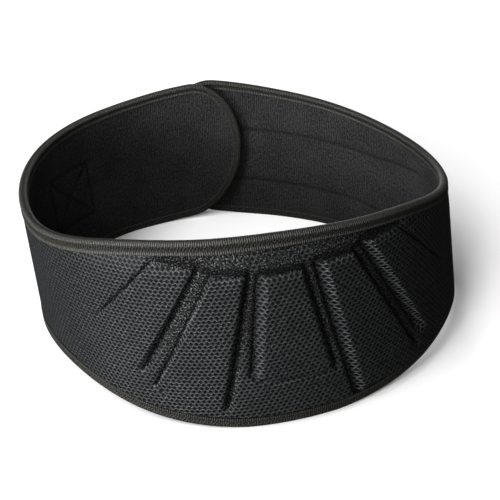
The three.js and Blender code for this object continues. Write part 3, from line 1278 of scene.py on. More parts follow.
@dataclass(frozen=True)
class SeamSet:
    """The rows sewn through the wall: two long rows at the right, a crossed box at the left.

    On the outer face they show only past outer_start from the belt's middle.
    """

    rows: tuple[tuple[float, float, float, float], ...] = (
        (276, 92, 330, 87),
        (330, 87, 500, 92),
        (318, 31, 345, 35),
        (345, 35, 500, 40),
        (-388, 87, -390, 36),
        (-390, 36, -337, 38),
        (-337, 38, -337, 89),
        (-337, 89, -388, 87),
        (-388, 87, -337, 38),
        (-390, 36, -337, 89),
    )
    width: float = 1.6
    outer_start: float = 260.0

    def pressed(self, along: np.ndarray, across: np.ndarray) -> np.ndarray:
        """How much the seams draw the wall in.

        Args:
            along: places along the belt.
            across: places across it.

        Returns:
            The share, from 0 to 1.
        """
        total = np.zeros_like(along)
        for x0, y0, x1, y1 in self.rows:
            length = math.hypot(x1 - x0, y1 - y0)
            way = ((x1 - x0) / length, (y1 - y0) / length)
            course = np.clip((along - x0) * way[0] + (across - y0) * way[1], 0, length)
            gap = np.hypot(along - x0 - course * way[0], across - y0 - course * way[1])
            total = np.maximum(total, ridge(gap, self.width))
        return total


SEAMS = SeamSet()


def spread(width: float, least: float, most: float, growth: float = 1.25) -> np.ndarray:
    """Shares of a width, closer together at both its sides.

    Args:
        width: the width.
        least: the first step from either side.
        most: the widest step.
        growth: how much wider each step is than the one before.

    Returns:
        The shares, from 0 to 1.
    """
    steps = [0.0]
    step = least
    while sum(steps) < width / 2:
        steps.append(step)
        step = min(step * growth, most)
    half = np.cumsum(steps)
    half *= 0.5 / half[-1]
    return np.concatenate([half, 1 - half[-2::-1]])


# The sub-assemblies


@dataclass
class MeshPanel:
    """The outer face: mesh cloth over a foam field with five moulded pads.

    The cloth's columns follow the pads' sides and its rows follow their tops, so that every
    pressed line lies on the mesh's own edges. main_rows and over_rows hold a width and its
    narrowest and widest step.
    """

    belt: Belt
    fan: LumbarFan = field(default_factory=LumbarFan)
    press_depth: float = 5.2
    puff: float = 1.1
    top_swell: float = 14.0
    foot_swell: float = 4.5
    foot_step: float = 0.3
    foot_step_height: float = 0.7
    tucked: float = 0.22
    tuck_reach: float = 1.2
    least_wall: float = 0.5
    puff_end: float = 180.0
    puff_blend: float = 75.0
    seam_depth: float = 0.5
    seam_shade: float = 0.4
    # A painted shadow just above the lower tape: where it ends, how that grows with the padding,
    # and how fast it fades.
    foot_shadow: float = 1.4
    foot_shadow_slope: float = 0.62
    foot_shadow_fade: float = 0.6
    fan_left: float = -232.0
    fan_right: float = 238.0
    fine: float = 0.4
    coarse: float = 1.25
    border_coarse: float = 1.7
    plain_step: float = 2.3
    tip_columns: int = 33
    rows_under_tape: int = 5
    main_rows: tuple[float, float, float] = (118, 0.45, 1.3)
    over_rows: tuple[float, float, float] = (20, 0.6, 1.5)
    level: float = 80.0
    crossing_rounds: int = 12
    hidden_triangles: int = 7000

    def guides(self, height: np.ndarray) -> np.ndarray:
        """Where the fan's lines are, between its two upright borders.

        Args:
            height: some heights.

        Returns:
            One row of places along the belt for each height.
        """
        lines = [side.along_at(height) for side in self.fan.sides]
        first = np.full_like(height, self.fan_left)
        last = np.full_like(height, self.fan_right)
        return np.stack([first, *lines, last], -1)

    def columns(self) -> tuple[np.ndarray, np.ndarray]:
        """The columns of the cloth.

        Returns:
            For each column the number of the guide to its left and its share of the way to the
            next one. Left of the fan the number is -1, right of it one more than the last, and
            the share is then the place along the belt.
        """
        marks = self.guides(np.array([self.level]))[0]
        number, share = [], []
        reach = self.belt.wall.end_length - LAYERS.edge_inset
        turns = np.linspace(0, math.radians(TIP_TURN), self.tip_columns + 1)[1:]
        tips = self.belt.end_start + reach * np.sin(turns)
        count = round((self.belt.end_start + marks[0]) / self.plain_step)
        left = np.linspace(-self.belt.end_start, marks[0], count, endpoint=False)
        right = np.linspace(marks[-1], self.belt.end_start, count)
        plain = np.concatenate([-tips[::-1], left])
        number.append(np.full(len(plain), -1))
        share.append(plain)
        for k, width in enumerate(np.diff(marks)):
            border = k in (0, len(marks) - 2)
            widest = self.border_coarse if border else self.coarse
            steps = spread(width, self.fine, widest)[:-1]
            number.append(np.full(len(steps), k))
            share.append(steps)
        plain = np.concatenate([right, tips])
        number.append(np.full(len(plain), len(marks) - 1))
        share.append(plain)
        return np.concatenate(number), np.concatenate(share)

    def rows(self) -> np.ndarray:
        """The rows of the cloth, upwards.

        Returns:
            The rows: 0 to 1 under the tape, 1 to 2 to the pads' tops, 2 to 3 up to the edge.
        """
        under = np.linspace(0, 1, self.rows_under_tape + 1)[:-1]
        main = 1 + spread(*self.main_rows)
        over = 2 + spread(*self.over_rows)[1:]
        return np.concatenate([under, main, over])

    def place(self, number: np.ndarray, share: np.ndarray, row: np.ndarray) -> np.ndarray:
        """Finds where columns and rows cross, on the flat cloth.

        Args:
            number: the guide to the left of each column.
            share: its share of the way to the next guide.
            row: the row.

        Returns:
            The places, in millimetres.
        """
        last = len(self.fan.sides) + 2
        within = np.clip(number, 0, last - 2)
        plain = (number < 0) | (number > last - 2)
        height = np.full(len(row), self.level)
        along = share
        for _ in range(self.crossing_rounds):
            marks = self.guides(height)
            left = np.take_along_axis(marks, within[:, None], 1)[:, 0]
            right = np.take_along_axis(marks, within[:, None] + 1, 1)[:, 0]
            along = np.where(plain, share, left + (right - left) * share)
            foot, top = self.belt.edges(along, LAYERS.edge_inset)
            inner_foot, inner_top = self.belt.cloth_edges(along)
            peak = self.fan.top_at(along, inner_top)
            marks = np.stack([foot, inner_foot, peak, top], -1)
            step = np.clip(np.floor(row).astype(int), 0, 2)
            low = np.take_along_axis(marks, step[:, None], 1)[:, 0]
            high = np.take_along_axis(marks, step[:, None] + 1, 1)[:, 0]
            height = low + (high - low) * (row - step)
        return np.stack([along, height], 1)

    def face_depth(self, along: np.ndarray, height: np.ndarray) -> tuple[np.ndarray, np.ndarray]:
        """The depth of the cloth's face.

        Args:
            along: places along the cloth, in millimetres.
            height: their heights, in millimetres.

        Returns:
            The depth, and the share of pressing and painted shade on the cloth.
        """
        foot, top = self.belt.cloth_edges(along)
        from_top, from_foot = top - height, height - foot
        swell = 1 - (1 - np.clip(from_top / self.top_swell, 0, 1)) ** 2
        tucked = self.tucked * np.clip(1 + from_top / self.tuck_reach, 0, 1)
        rise = np.where(from_top < 0, tucked, self.tucked + (1 - self.tucked) * swell)
        step = self.foot_step * np.clip(from_foot / self.foot_step_height, 0, 1)
        rise = rise * (step + (1 - self.foot_step) * ease(from_foot / self.foot_swell))
        puff = self.puff * ease((self.puff_end - np.abs(along)) / self.puff_blend)
        padding = self.belt.padding(along) + puff
        sunk = self.fan.sunk(along, height, top)
        seam = SEAMS.pressed(along, height) * (np.abs(along) > SEAMS.outer_start)
        swollen = padding * rise
        depth = swollen - np.minimum(self.press_depth * sunk, swollen + self.least_wall)
        depth = LAYERS.panel_face + depth - self.seam_depth * seam
        shade = np.maximum(self.fan.shade(along, height, top), self.seam_shade * seam)
        # Painted shadow: a dark line just above the lower tape, where the panel swells over its
        # edge.
        past_foot_shadow = from_foot - self.foot_shadow - self.foot_shadow_slope * padding
        line = ridge(np.maximum(past_foot_shadow, 0), self.foot_shadow_fade)
        return depth, np.maximum(shade, line)

    def build(self, finish: bpy.types.Material) -> bpy.types.Object:
        """Builds and dresses the panel.

        Args:
            finish: the piece's finish.

        Returns:
            The piece.
        """
        number, share = self.columns()
        rows = self.rows()
        clear_selection()
        bpy.ops.mesh.primitive_grid_add(
            x_subdivisions=len(number) - 1, y_subdivisions=len(rows) - 1, size=2
        )
        piece = bpy.context.object
        grid = flat_places(piece)
        column = np.rint((grid[:, 0] + 1) / 2 * (len(number) - 1)).astype(int)
        row = np.rint((grid[:, 1] + 1) / 2 * (len(rows) - 1)).astype(int)
        flat = self.place(number[column], share[column], rows[row])
        flat = np.concatenate([flat * MM, np.zeros((len(flat), 1))], 1)
        set_places(piece, flat)
        lay_cloth_map(piece, flat)
        rim = (row == 0) | (row == len(rows) - 1) | (column == 0) | (column == len(number) - 1)
        set_mark(piece, rim)
        thicken(piece)
        flat = flat_places(piece)
        along, height = flat[:, :2].T / MM
        back = flat[:, 2] < -DRAFT_THICKNESS / 2 * MM
        depth, shade = self.face_depth(along, height)
        painted_light = self.fan.painted_light(along, height, self.belt.cloth_edges(along)[1])
        depth = np.where(back, LAYERS.panel_back, depth)
        set_places(piece, self.belt.point(along, height, depth))
        # The share of pressing and painted shade.
        set_share(piece, PRESSED_AND_PAINTED_SHADE, np.where(back, 0, shade))
        # The share of painted light, which pales the mesh where the light falls strongest.
        set_share(piece, PAINTED_LIGHT, painted_light)
        thin_out(piece, back & ~read_mark(piece), self.hidden_triangles)
        return finish_piece(piece, "mesh_panel", finish, "outer_panel", "outer_panel")


@dataclass
class KnitLining:
    """The inner face: fine ribbed knit on neoprene, drawn in where it is sewn."""

    belt: Belt
    step: float = 1.5
    tip_run: float = 60.0
    rows: int = 84
    swell_depth: float = 0.5
    swell: float = 9.0
    swell_end: float = 430.0
    swell_blend: float = 40.0
    seam_depth: float = 0.9
    rim_margin: float = 0.2
    hidden_triangles: int = 6000

    def columns(self) -> np.ndarray:
        """The columns of the lining.

        Returns:
            Their places along the belt, closer together at the tips.
        """
        reach = self.belt.wall.end_length - LAYERS.edge_inset
        turns = np.linspace(0, math.radians(TIP_TURN), round(self.tip_run / self.step))[1:]
        tips = self.belt.end_start + reach * np.sin(turns)
        count = round(2 * self.belt.end_start / self.step)
        straight = np.linspace(-self.belt.end_start, self.belt.end_start, count)
        return np.concatenate([-tips[::-1], straight, tips])

    def build(self, finish: bpy.types.Material) -> bpy.types.Object:
        """Builds and dresses the lining.

        Args:
            finish: the piece's finish.

        Returns:
            The piece.
        """
        columns = self.columns()
        clear_selection()
        bpy.ops.mesh.primitive_grid_add(
            x_subdivisions=len(columns) - 1, y_subdivisions=self.rows, size=2
        )
        piece = bpy.context.object
        flat = flat_places(piece)
        share = (flat[:, 0] + 1) / 2 * (len(columns) - 1)
        along = np.interp(share, np.arange(len(columns)), columns)
        foot, top = self.belt.edges(along, LAYERS.edge_inset)
        across = foot + (top - foot) * (1 - flat[:, 1]) / 2
        flat = np.stack([along, across, np.zeros_like(along)], 1) * MM
        set_places(piece, flat)
        lay_cloth_map(piece, flat)
        thicken(piece)
        flat = flat_places(piece)
        along, across = flat[:, :2].T / MM
        back = np.abs(flat[:, 2]) > DRAFT_THICKNESS / 2 * MM
        foot, top = self.belt.edges(along, LAYERS.inner_tape_width)
        inward = np.minimum(across - foot, top - across)
        puff = ease(inward / self.swell) * self.swell_depth
        puff = puff * ease((self.swell_end - np.abs(along)) / self.swell_blend)
        seam = SEAMS.pressed(along, across)
        depth = LAYERS.lining_face - puff + self.seam_depth * seam
        depth = np.where(back, LAYERS.lining_back, depth)
        set_places(piece, self.belt.point(along, across, depth))
        set_share(piece, PRESSED_AND_PAINTED_SHADE, np.where(back, 0, seam))
        foot, top = self.belt.edges(along, LAYERS.edge_inset + self.rim_margin)
        ends = np.abs(along) >= columns[-1] - self.rim_margin
        rim = (across <= foot) | (across >= top) | ends
        thin_out(piece, back & ~rim, self.hidden_triangles)
        return finish_piece(piece, "knit_lining", finish, "lining", "lining")


@dataclass
class EdgeTape:
    """One ribbed tape folded over the whole edge, sewn down along both its legs.

    shoulder and leg are the section of one side, as inset and depth. The leg is drawn 8 mm wide
    past the shoulder and fitted to each side's own width. The selvedge is the ribbed edge of a
    leg, and the twill starts past the shoulder at twill_start.
    """

    belt: Belt
    step: float = 1.6
    shoulder: tuple[tuple[float, float], ...] = (
        (-0.9, 0.0),
        (-0.8, 1.0),
        (-0.5, 1.9),
        (0.0, 2.65),
        (0.7, 3.2),
        (1.5, 3.5),
        (2.4, 3.5),
    )
    leg: tuple[tuple[float, float], ...] = (
        (0.8, 3.3),
        (1.8, 3.05),
        (3.0, 2.93),
        (4.2, 2.9),
        (5.2, 2.95),
        (5.9, 3.1),
        (6.5, 3.35),
        (7.2, 3.5),
        (7.8, 3.35),
        (8.0, 3.0),
        (8.0, 2.65),
    )
    outer_under: float = 6.0
    inner_under: float = 5.0
    twill_start: float = 0.9
    twill_blend: float = 0.9
    selvedge: float = 1.7
    selvedge_blend: float = 0.7
    fold_width: float = 1.5
    weld: float = 0.02

    def side(self, width: float) -> list[tuple[float, float]]:
        """The section of one side of the tape.

        Args:
            width: how far its leg reaches in from the edge.

        Returns:
            Its insets and depths.
        """
        start = self.shoulder[-1][0]
        share = (width - start) / self.leg[-1][0]
        return list(self.shoulder) + [(start + inset * share, depth) for inset, depth in self.leg]

    def section(self) -> np.ndarray:
        """The tape's whole section, closed through its inner side.

        Returns:
            One row of inset and depth for each corner.
        """
        outer = self.side(LAYERS.tape_width)
        inner = self.side(LAYERS.inner_tape_width)
        inner_leg = [(inset, -depth) for inset, depth in inner[:0:-1]]
        under = [
            (self.outer_under, LAYERS.tape_inner),
            (LAYERS.tape_thickness, LAYERS.tape_inner),
            (LAYERS.tape_thickness, 0.0),
            (LAYERS.tape_thickness, -LAYERS.tape_inner),
            (self.inner_under, -LAYERS.tape_inner),
        ]
        ring = inner_leg + outer + under
        return np.array(ring + ring[:1])

    def dull(self, section: np.ndarray) -> np.ndarray:
        """How much the tape is plain twill and not ribbed.

        Args:
            section: the tape's section.

        Returns:
            The share at each corner, from 0 to 1.
        """
        inset, depth = section.T
        outside = np.abs(depth) > LAYERS.tape_inner + 0.1
        width = np.where(depth > 0, LAYERS.tape_width, LAYERS.inner_tape_width)
        started = ease((inset - self.twill_start) / self.twill_blend)
        left = ease((width - self.selvedge - inset) / self.selvedge_blend)
        return started * left * outside

    def leg_share(self, section: np.ndarray) -> np.ndarray:
        """How far down its outer leg the tape is.

        Args:
            section: the tape's section.

        Returns:
            The share at each corner, from 0 to 1.
        """
        inset, depth = section.T
        start = self.shoulder[-1][0]
        share = np.clip((inset - start) / (LAYERS.tape_width - start), 0, 1)
        return np.where(depth > LAYERS.tape_inner - 0.1, share, 0)

    def fold_and_rim_shadow(self, section: np.ndarray) -> np.ndarray:
        """Where the tape is darkest: the very top of its fold, and its outer leg's rim, which is a
        painted shadow.

        Args:
            section: the tape's section.

        Returns:
            The share at each corner, from 0 to 1.
        """
        inset, depth = section.T
        # Painted shadow on the outer leg's rim, where it meets the cloth.
        rim = (inset > LAYERS.tape_width - 0.05) & (depth > 0)
        return np.maximum(ridge(depth, self.fold_width) * (inset < 0.2), rim)

    def build(self, finish: bpy.types.Material) -> bpy.types.Object:
        """Builds and dresses the tape.

        Args:
            finish: the piece's finish.

        Returns:
            The piece.
        """
        outline = self.belt.outline(self.step)
        places = self.belt.outline_places(outline, 0.0)
        course = np.roll(places, -1, 0) - np.roll(places, 1, 0)
        course /= np.linalg.norm(course, axis=1)[:, None]
        inward = np.stack([course[:, 1], -course[:, 0]], 1)
        walked = np.concatenate([[0], np.cumsum(np.linalg.norm(np.diff(places, axis=0), axis=1))])
        section = self.section()
        extra = self.belt.outer_leg(places) - LAYERS.tape_width
        across = np.concatenate([[0], np.cumsum(np.linalg.norm(np.diff(section, axis=0), axis=1))])
        count = len(places)
        clear_selection()
        bpy.ops.mesh.primitive_grid_add(
            x_subdivisions=count, y_subdivisions=len(section) - 1, size=2
        )
        piece = bpy.context.object
        flat = flat_places(piece)
        column = np.rint((flat[:, 0] + 1) / 2 * count).astype(int)
        row = np.rint((flat[:, 1] + 1) / 2 * (len(section) - 1)).astype(int)
        whole = walked[-1] + float(np.linalg.norm(places[0] - places[-1]))
        length = np.append(walked, whole)
        lay_cloth_map(piece, np.stack([length[column], across[row]], 1) * MM)
        column = column % count
        inset, depth = section[row].T
        inset = inset + extra[column] * self.leg_share(section)[row]
        laid = places[column] + inward[column] * inset[:, None]
        set_places(piece, self.belt.point(laid[:, 0], laid[:, 1], depth))
        set_share(piece, PRESSED_AND_PAINTED_SHADE, self.dull(section)[row])
        set_share(piece, FOLD_AND_RIM_SHADOW, self.fold_and_rim_shadow(section)[row])
        take(piece)
        bpy.ops.object.mode_set(mode="EDIT")
        bpy.ops.mesh.select_all(action="SELECT")
        bpy.ops.mesh.remove_doubles(threshold=self.weld * MM)
        bpy.ops.mesh.normals_make_consistent(inside=False)
        bpy.ops.object.mode_set(mode="OBJECT")
        return finish_piece(piece, "edge_tape", finish, "edge_binding", "edge_binding")


@dataclass
class Stitching:
    """Rows of lockstitches, each stitch a short sunk thread.

    A stitch is modelled one unit long and thick. straight is the share of its length between
    its tapered ends, and taper how thick they end.
    """

    belt: Belt
    pitch: float = 3.4
    length: float = 2.5
    thickness: float = 0.55
    sides: int = 6
    straight: float = 0.6
    taper: float = 0.35
    bow: float = 0.12
    look_ahead: float = 0.2

    def stitch(self) -> bpy.types.Object:
        """Models one stitch along +X.

        Returns:
            The model.
        """
        clear_selection()
        bpy.ops.mesh.primitive_cylinder_add(
            vertices=self.sides, radius=0.5, depth=1.0, end_fill_type="NGON"
        )
        piece = bpy.context.object
        bpy.ops.object.mode_set(mode="EDIT")
        bpy.ops.mesh.select_all(action="SELECT")
        bpy.ops.transform.rotate(value=math.pi / 2, orient_axis="Y", center_override=(0, 0, 0))
        bpy.ops.object.mode_set(mode="OBJECT")
        places = flat_places(piece)
        places[:, 0] *= self.straight
        set_places(piece, places)
        bpy.ops.object.mode_set(mode="EDIT")
        bpy.ops.mesh.select_mode(type="FACE")
        bpy.ops.mesh.select_all(action="DESELECT")
        bpy.ops.object.mode_set(mode="OBJECT")
        for face in piece.data.polygons:
            face.select = abs(face.normal.x) > 0.9
        bpy.ops.object.mode_set(mode="EDIT")
        bpy.ops.mesh.extrude_faces_move()
        bpy.ops.object.mode_set(mode="OBJECT")
        chosen = np.empty(len(piece.data.vertices), bool)
        piece.data.vertices.foreach_get("select", chosen)
        places = flat_places(piece)
        places[chosen] *= np.array([1.0 / self.straight, self.taper, self.taper])
        set_places(piece, places)
        bpy.ops.object.mode_set(mode="EDIT")
        bpy.ops.mesh.select_all(action="SELECT")
        bpy.ops.mesh.normals_make_consistent(inside=False)
        bpy.ops.mesh.select_mode(type="VERT")
        bpy.ops.object.mode_set(mode="OBJECT")
        return piece

    def sew(
        self,
        name: str,
        rows: list[tuple[np.ndarray, np.ndarray]],
        finish: bpy.types.Material,
        slot: str,
    ) -> bpy.types.Object:
        """Sews rows of stitches.

        Args:
            name: the piece's name.
            rows: for each row its flat places, in millimetres, and their depths.
            finish: the thread's finish.
            slot: the slot of the record that the thread goes with.

        Returns:
            The piece.
        """
        model = self.stitch()
        shape = flat_places(model)
        faces = [list(p.vertices) for p in model.data.polygons]
        points, loops = [], []
        for flat, depth in rows:
            walked = np.concatenate([[0], np.cumsum(np.hypot(*np.diff(flat, axis=0).T))])
            count = max(int(walked[-1] / self.pitch), 1)
            middles = (np.arange(count) + 0.5) * walked[-1] / count
            xs = middles[:, None] + shape[None, :, 0] * self.length
            along, across = (np.interp(xs, walked, column) for column in flat.T)
            near = (xs + self.look_ahead, xs - self.look_ahead)
            ahead = [
                np.interp(near[0], walked, column) - np.interp(near[1], walked, column)
                for column in flat.T
            ]
            ahead = np.stack(ahead, -1)
            ahead /= np.maximum(np.linalg.norm(ahead, axis=-1, keepdims=True), 1e-9)
            sideways = shape[None, :, 1] * self.thickness
            along = along - ahead[..., 1] * sideways
            across = across + ahead[..., 0] * sideways
            bow = 1 - (2 * shape[:, 0]) ** 2
            lift = shape[None, :, 2] * self.thickness + (bow * self.bow)[None]
            base = np.interp(xs, walked, depth)
            sign = np.sign(depth[0])
            laid = self.belt.point(along, across, base + sign * lift)
            for stitch in laid:
                loops.extend([[k + len(points) for k in face] for face in faces])
                points.extend(stitch.tolist())
        bpy.data.objects.remove(model)
        mesh = bpy.data.meshes.new(name)
        mesh.from_pydata(points, [], loops)
        piece = bpy.data.objects.new(name, mesh)
        bpy.context.scene.collection.objects.link(piece)
        take(piece)
        bpy.ops.object.mode_set(mode="EDIT")
        bpy.ops.mesh.select_all(action="SELECT")
        bpy.ops.mesh.normals_make_consistent(inside=False)
        bpy.ops.object.mode_set(mode="OBJECT")
        return finish_piece(piece, name, finish, slot)


@dataclass
class TapeStitches:
    """The two rows that hold the edge tape, one on each leg."""

    belt: Belt
    step: float = 2.0
    inset: float = 5.0
    inner_inset: float = 4.4
    depth: float = 3.0

    def build(self, finish: bpy.types.Material) -> list[bpy.types.Object]:
        """Sews both rows.

        Args:
            finish: the thread's finish.

        Returns:
            The two pieces.
        """
        outline = self.belt.outline(self.step)
        places = self.belt.outline_places(outline, 0.0)
        course = np.roll(places, -1, 0) - np.roll(places, 1, 0)
        course /= np.linalg.norm(course, axis=1)[:, None]
        inward = np.stack([course[:, 1], -course[:, 0]], 1)
        made = []
        for side in Side:
            extra = 0.5 * (self.belt.outer_leg(places) - LAYERS.tape_width)[:, None]
            outer = side is Side.OUTER
            row = places + inward * (self.inset + extra if outer else self.inner_inset)
            row = np.concatenate([row, row[:1]])
            depth = np.full(len(row), self.depth * side.value)
            name = f"tape_stitches_{side.name.lower()}"
            made.append(Stitching(self.belt).sew(name, [(row, depth)], finish, "edge_binding"))
        return made


@dataclass
class WallStitches:
    """The rows sewn through the wall, on its inner and its outer face."""

    belt: Belt
    step: float = 1.0
    thickness: float = 0.45
    inner_depth: float = -2.05
    outer_sunk: float = 0.35

    def build(self, finish: bpy.types.Material) -> list[bpy.types.Object]:
        """Sews the rows on both faces.

        Args:
            finish: the thread's finish.

        Returns:
            The two pieces.
        """
        made = []
        for side in Side:
            rows = []
            for x0, y0, x1, y1 in SEAMS.rows:
                count = max(int(math.hypot(x1 - x0, y1 - y0) / self.step), 2)
                flat = np.stack([np.linspace(x0, x1, count), np.linspace(y0, y1, count)], 1)
                if side is Side.INNER:
                    depth = np.full(count, self.inner_depth)
                else:
                    padding = self.belt.padding(flat[:, 0])
                    depth = LAYERS.panel_face + padding - self.outer_sunk
                rows.append((flat, depth))
            slot = "lining" if side is Side.INNER else "outer_panel"
            name = f"wall_stitches_{side.name.lower()}"
            stitching = Stitching(self.belt, thickness=self.thickness)
            made.append(stitching.sew(name, rows, finish, slot))
        return made


@dataclass
class ClosureField:
    """One sewn field of the hook and loop closure between the overlapping ends.

    Its corners are rounded, and it is sewn down along a line at sewn_at of the way to its rim.
    right_tip_on_left is how many degrees clockwise of the lumbar side the right tip lies.
    """

    belt: Belt
    name: str
    inner: float
    outer: float
    half_length: float = 24.0
    half_height: float = 41.0
    columns: int = 32
    rows: int = 44
    sewn_at: float = 0.9
    sewn_width: float = 0.04
    sewn_depth: float = 0.1
    right_tip_on_left: float = 166.0

    def middle(self) -> tuple[float, float]:
        """The middle of the overlap, on the left end.

        Returns:
            Its place along the belt and its height.
        """
        bearing = self.belt.walk["bearing"]
        facing = self.belt.walk["along"][np.searchsorted(bearing, -self.right_tip_on_left)]
        along = (facing - self.belt.half_length) / 2
        foot, top = self.belt.edges(np.array([along]), 0.0)
        return float(along), float((foot[0] + top[0]) / 2)

    def build(self, finish: bpy.types.Material) -> bpy.types.Object:
        """Builds and dresses the field.

        Args:
            finish: the piece's finish.

        Returns:
            The piece.
        """
        along, height = self.middle()
        clear_selection()
        bpy.ops.mesh.primitive_grid_add(
            x_subdivisions=self.columns, y_subdivisions=self.rows, size=2
        )
        piece = bpy.context.object
        flat = flat_places(piece)
        x, y = flat[:, 0], flat[:, 1]
        round_x, round_y = x * np.sqrt(1 - y**2 / 2), y * np.sqrt(1 - x**2 / 2)
        edge = np.maximum(np.abs(x), np.abs(y))
        along = along + round_x * self.half_length
        height = height + round_y * self.half_height
        flat = np.stack([along, height, np.zeros_like(along)], 1) * MM
        set_places(piece, flat)
        lay_cloth_map(piece, flat)
        thicken(piece)
        flat = flat_places(piece)
        rims = np.tile(edge, 2)
        back = np.abs(flat[:, 2]) > DRAFT_THICKNESS / 2 * MM
        depth = np.where(back, self.inner, self.outer)
        sewn = self.sewn_depth * ridge(rims - self.sewn_at, self.sewn_width)
        depth = depth + np.where(back, sewn, -sewn)
        set_places(piece, self.belt.point(flat[:, 0] / MM, flat[:, 1] / MM, depth))
        take(piece)
        bpy.ops.object.mode_set(mode="EDIT")
        bpy.ops.mesh.select_all(action="SELECT")
        bpy.ops.mesh.normals_make_consistent(inside=False)
        bpy.ops.object.mode_set(mode="OBJECT")
        return finish_piece(piece, self.name, finish, "hook_patch", "hook_patch")


# The studio


@dataclass(frozen=True)
class Softbox:
    """One soft light, placed by where it stands as seen from the belt, in degrees and metres.

    It lights either the floor alone or all but the floor.
    """

    name: str
    azimuth: float
    elevation: float
    distance: float
    size: float
    power: float
    for_floor: bool = False

    def build(self) -> None:
        """Builds the light."""
        turn, rise = math.radians(self.azimuth), math.radians(self.elevation)
        way = Vector(
            (math.sin(turn) * math.cos(rise), -math.cos(turn) * math.cos(rise), math.sin(rise))
        )
        lamp = bpy.data.lights.new(self.name, "AREA")
        lamp.shape = "DISK"
        lamp.size = self.size
        lamp.energy = self.power
        placed = bpy.data.objects.new(self.name, lamp)
        placed.location = way * self.distance
        placed.rotation_euler = (-way).to_track_quat("-Z", "Y").to_euler()
        bpy.context.scene.collection.objects.link(placed)
        lit = bpy.data.collections.new(f"lit_by_{self.name}")
        lit.objects.link(bpy.data.objects["floor"])
        placed.light_linking.receiver_collection = lit
        if not self.for_floor:
            lit.collection_objects[0].light_linking.link_state = "EXCLUDE"


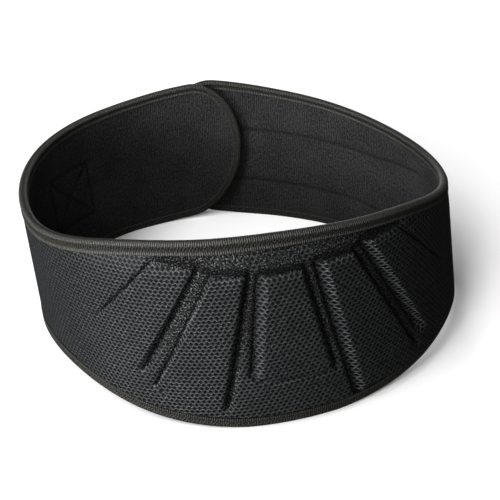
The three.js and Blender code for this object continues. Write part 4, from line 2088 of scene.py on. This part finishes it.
@dataclass(frozen=True)
class Studio:
    """The pale floor, the soft light and the camera at the photograph's angle, in metres.

    focal is the camera's focal length in pixels of a picture that is picture pixels wide, and
    sensor the camera's width in millimetres. The floor's glow rises over glow_reach from the
    belt's middle.
    """

    boxes: tuple[Softbox, ...] = (
        Softbox("key", -74, 20, 1.2, 0.4, 6.2),
        Softbox("low_left", -50, 8, 1.2, 0.4, 4.6),
        Softbox("top_left", -70, 60, 1.2, 0.5, 4.2),
        Softbox("front", -20, 34, 1.2, 0.4, 1.0),
        Softbox("low_front", -20, 8, 1.2, 0.4, 0.45),
        Softbox("right", 30, 30, 1.2, 0.5, 0.4),
        Softbox("behind", 150, 15, 1.4, 0.6, 1.0),
        Softbox("back", 166, 10, 1.2, 0.4, 2.2),
        Softbox("floor_top", -120, 75, 4.0, 2.0, 50, for_floor=True),
        Softbox("floor_left", -62, 52, 4.0, 2.0, 139, for_floor=True),
        Softbox("floor_front", -43, 30, 4.0, 1.6, 157, for_floor=True),
        Softbox("floor_behind", 172, 22, 4.0, 1.6, 62, for_floor=True),
    )
    air: float = 0.02
    glow_reach: tuple[float, float] = (0.42, 0.95)
    backdrop: float = 1.0
    elevation: float = 32.01
    azimuth: float = -14.64
    distance: float = 0.747
    focal: float = 883.9
    picture: float = 500.0
    sensor: float = 36.0
    look_at: tuple[float, float, float] = (0.0021, -0.00395, 0.0496)
    floor_size: float = 60.0
    paper: tuple[float, float, float] = (0.8, 0.8, 0.8)

    def build(self) -> None:
        """Builds floor, light and camera."""
        self.floor()
        self.world()
        for box in self.boxes:
            box.build()
        self.camera()
        bpy.context.scene.view_settings.view_transform = "Standard"

    def floor(self) -> None:
        """Lays the pale floor. Far from the belt it glows, so that it stays pale there."""
        clear_selection()
        bpy.ops.mesh.primitive_plane_add(size=self.floor_size, location=(0, 0, 0))
        piece = bpy.context.object
        piece.name = "floor"
        sheet = FinishSheet("floor_paper")
        place = sheet.node("ShaderNodeTexCoord", None, None, "Object")
        reach = sheet.node("ShaderNodeVectorMath", {"operation": "LENGTH"}, {0: place}, "Value")
        far = sheet.blend(reach.smooth(*self.glow_reach), (0, 0, 0), (1, 1, 1))
        glow = {"Emission_Color": far, "Emission_Strength": 1.0}
        paper = sheet.surface(self.paper, 1.0, Specular_IOR_Level=0.0, **glow)
        piece.data.materials.append(paper)
        piece.visible_diffuse = False
        piece.visible_glossy = False

    def world(self) -> None:
        """Fills the room with even light, and shows a white backdrop."""
        room = bpy.data.worlds.new("room")
        bpy.context.scene.world = room
        room.use_nodes = True
        tree = room.node_tree
        tree.nodes.clear()
        light = tree.nodes.new("ShaderNodeBackground")
        light.inputs["Strength"].default_value = self.air
        shown = tree.nodes.new("ShaderNodeBackground")
        shown.inputs["Strength"].default_value = self.backdrop
        path = tree.nodes.new("ShaderNodeLightPath")
        mix = tree.nodes.new("ShaderNodeMixShader")
        end = tree.nodes.new("ShaderNodeOutputWorld")
        for background in (light, shown):
            background.inputs["Color"].default_value = (1, 1, 1, 1)
        tree.links.new(path.outputs["Is Camera Ray"], mix.inputs[0])
        tree.links.new(light.outputs[0], mix.inputs[1])
        tree.links.new(shown.outputs[0], mix.inputs[2])
        tree.links.new(mix.outputs[0], end.inputs["Surface"])

    def camera(self) -> None:
        """Places the camera."""
        lens = bpy.data.cameras.new("camera")
        lens.sensor_width = self.sensor
        lens.lens = self.focal * self.sensor / self.picture
        placed = bpy.data.objects.new("camera", lens)
        turn, rise = math.radians(self.azimuth), math.radians(self.elevation)
        back = Vector(
            (math.sin(turn) * math.cos(rise), -math.cos(turn) * math.cos(rise), math.sin(rise))
        )
        placed.location = Vector(self.look_at) + back * self.distance
        placed.rotation_euler = (-back).to_track_quat("-Z", "Y").to_euler()
        bpy.context.scene.collection.objects.link(placed)
        bpy.context.scene.camera = placed


def main() -> None:
    """Builds the belt, piece by piece, and the studio round it."""
    logging.basicConfig(level=logging.INFO, format="%(name)s: %(message)s")
    belt = Belt(BeltWall())
    Studio().build()
    panel = MeshPanel(belt).build(MeshCloth(HoleLattice()).make())
    lining = KnitLining(belt).build(RibKnit().make())
    EdgeTape(belt).build(WovenTape().make())
    TapeStitches(belt).build(Thread("tape_thread", (0.06, 0.057, 0.05)).make())
    WallStitches(belt).build(Thread("wall_thread", (0.02, 0.02, 0.022)).make())
    hook_tape = HookTape().make()
    ClosureField(belt, "loop_field", 2.65, 3.65).build(hook_tape)
    ClosureField(belt, "hook_field", 3.7, 4.75).build(hook_tape)


if __name__ == "__main__":
    main()
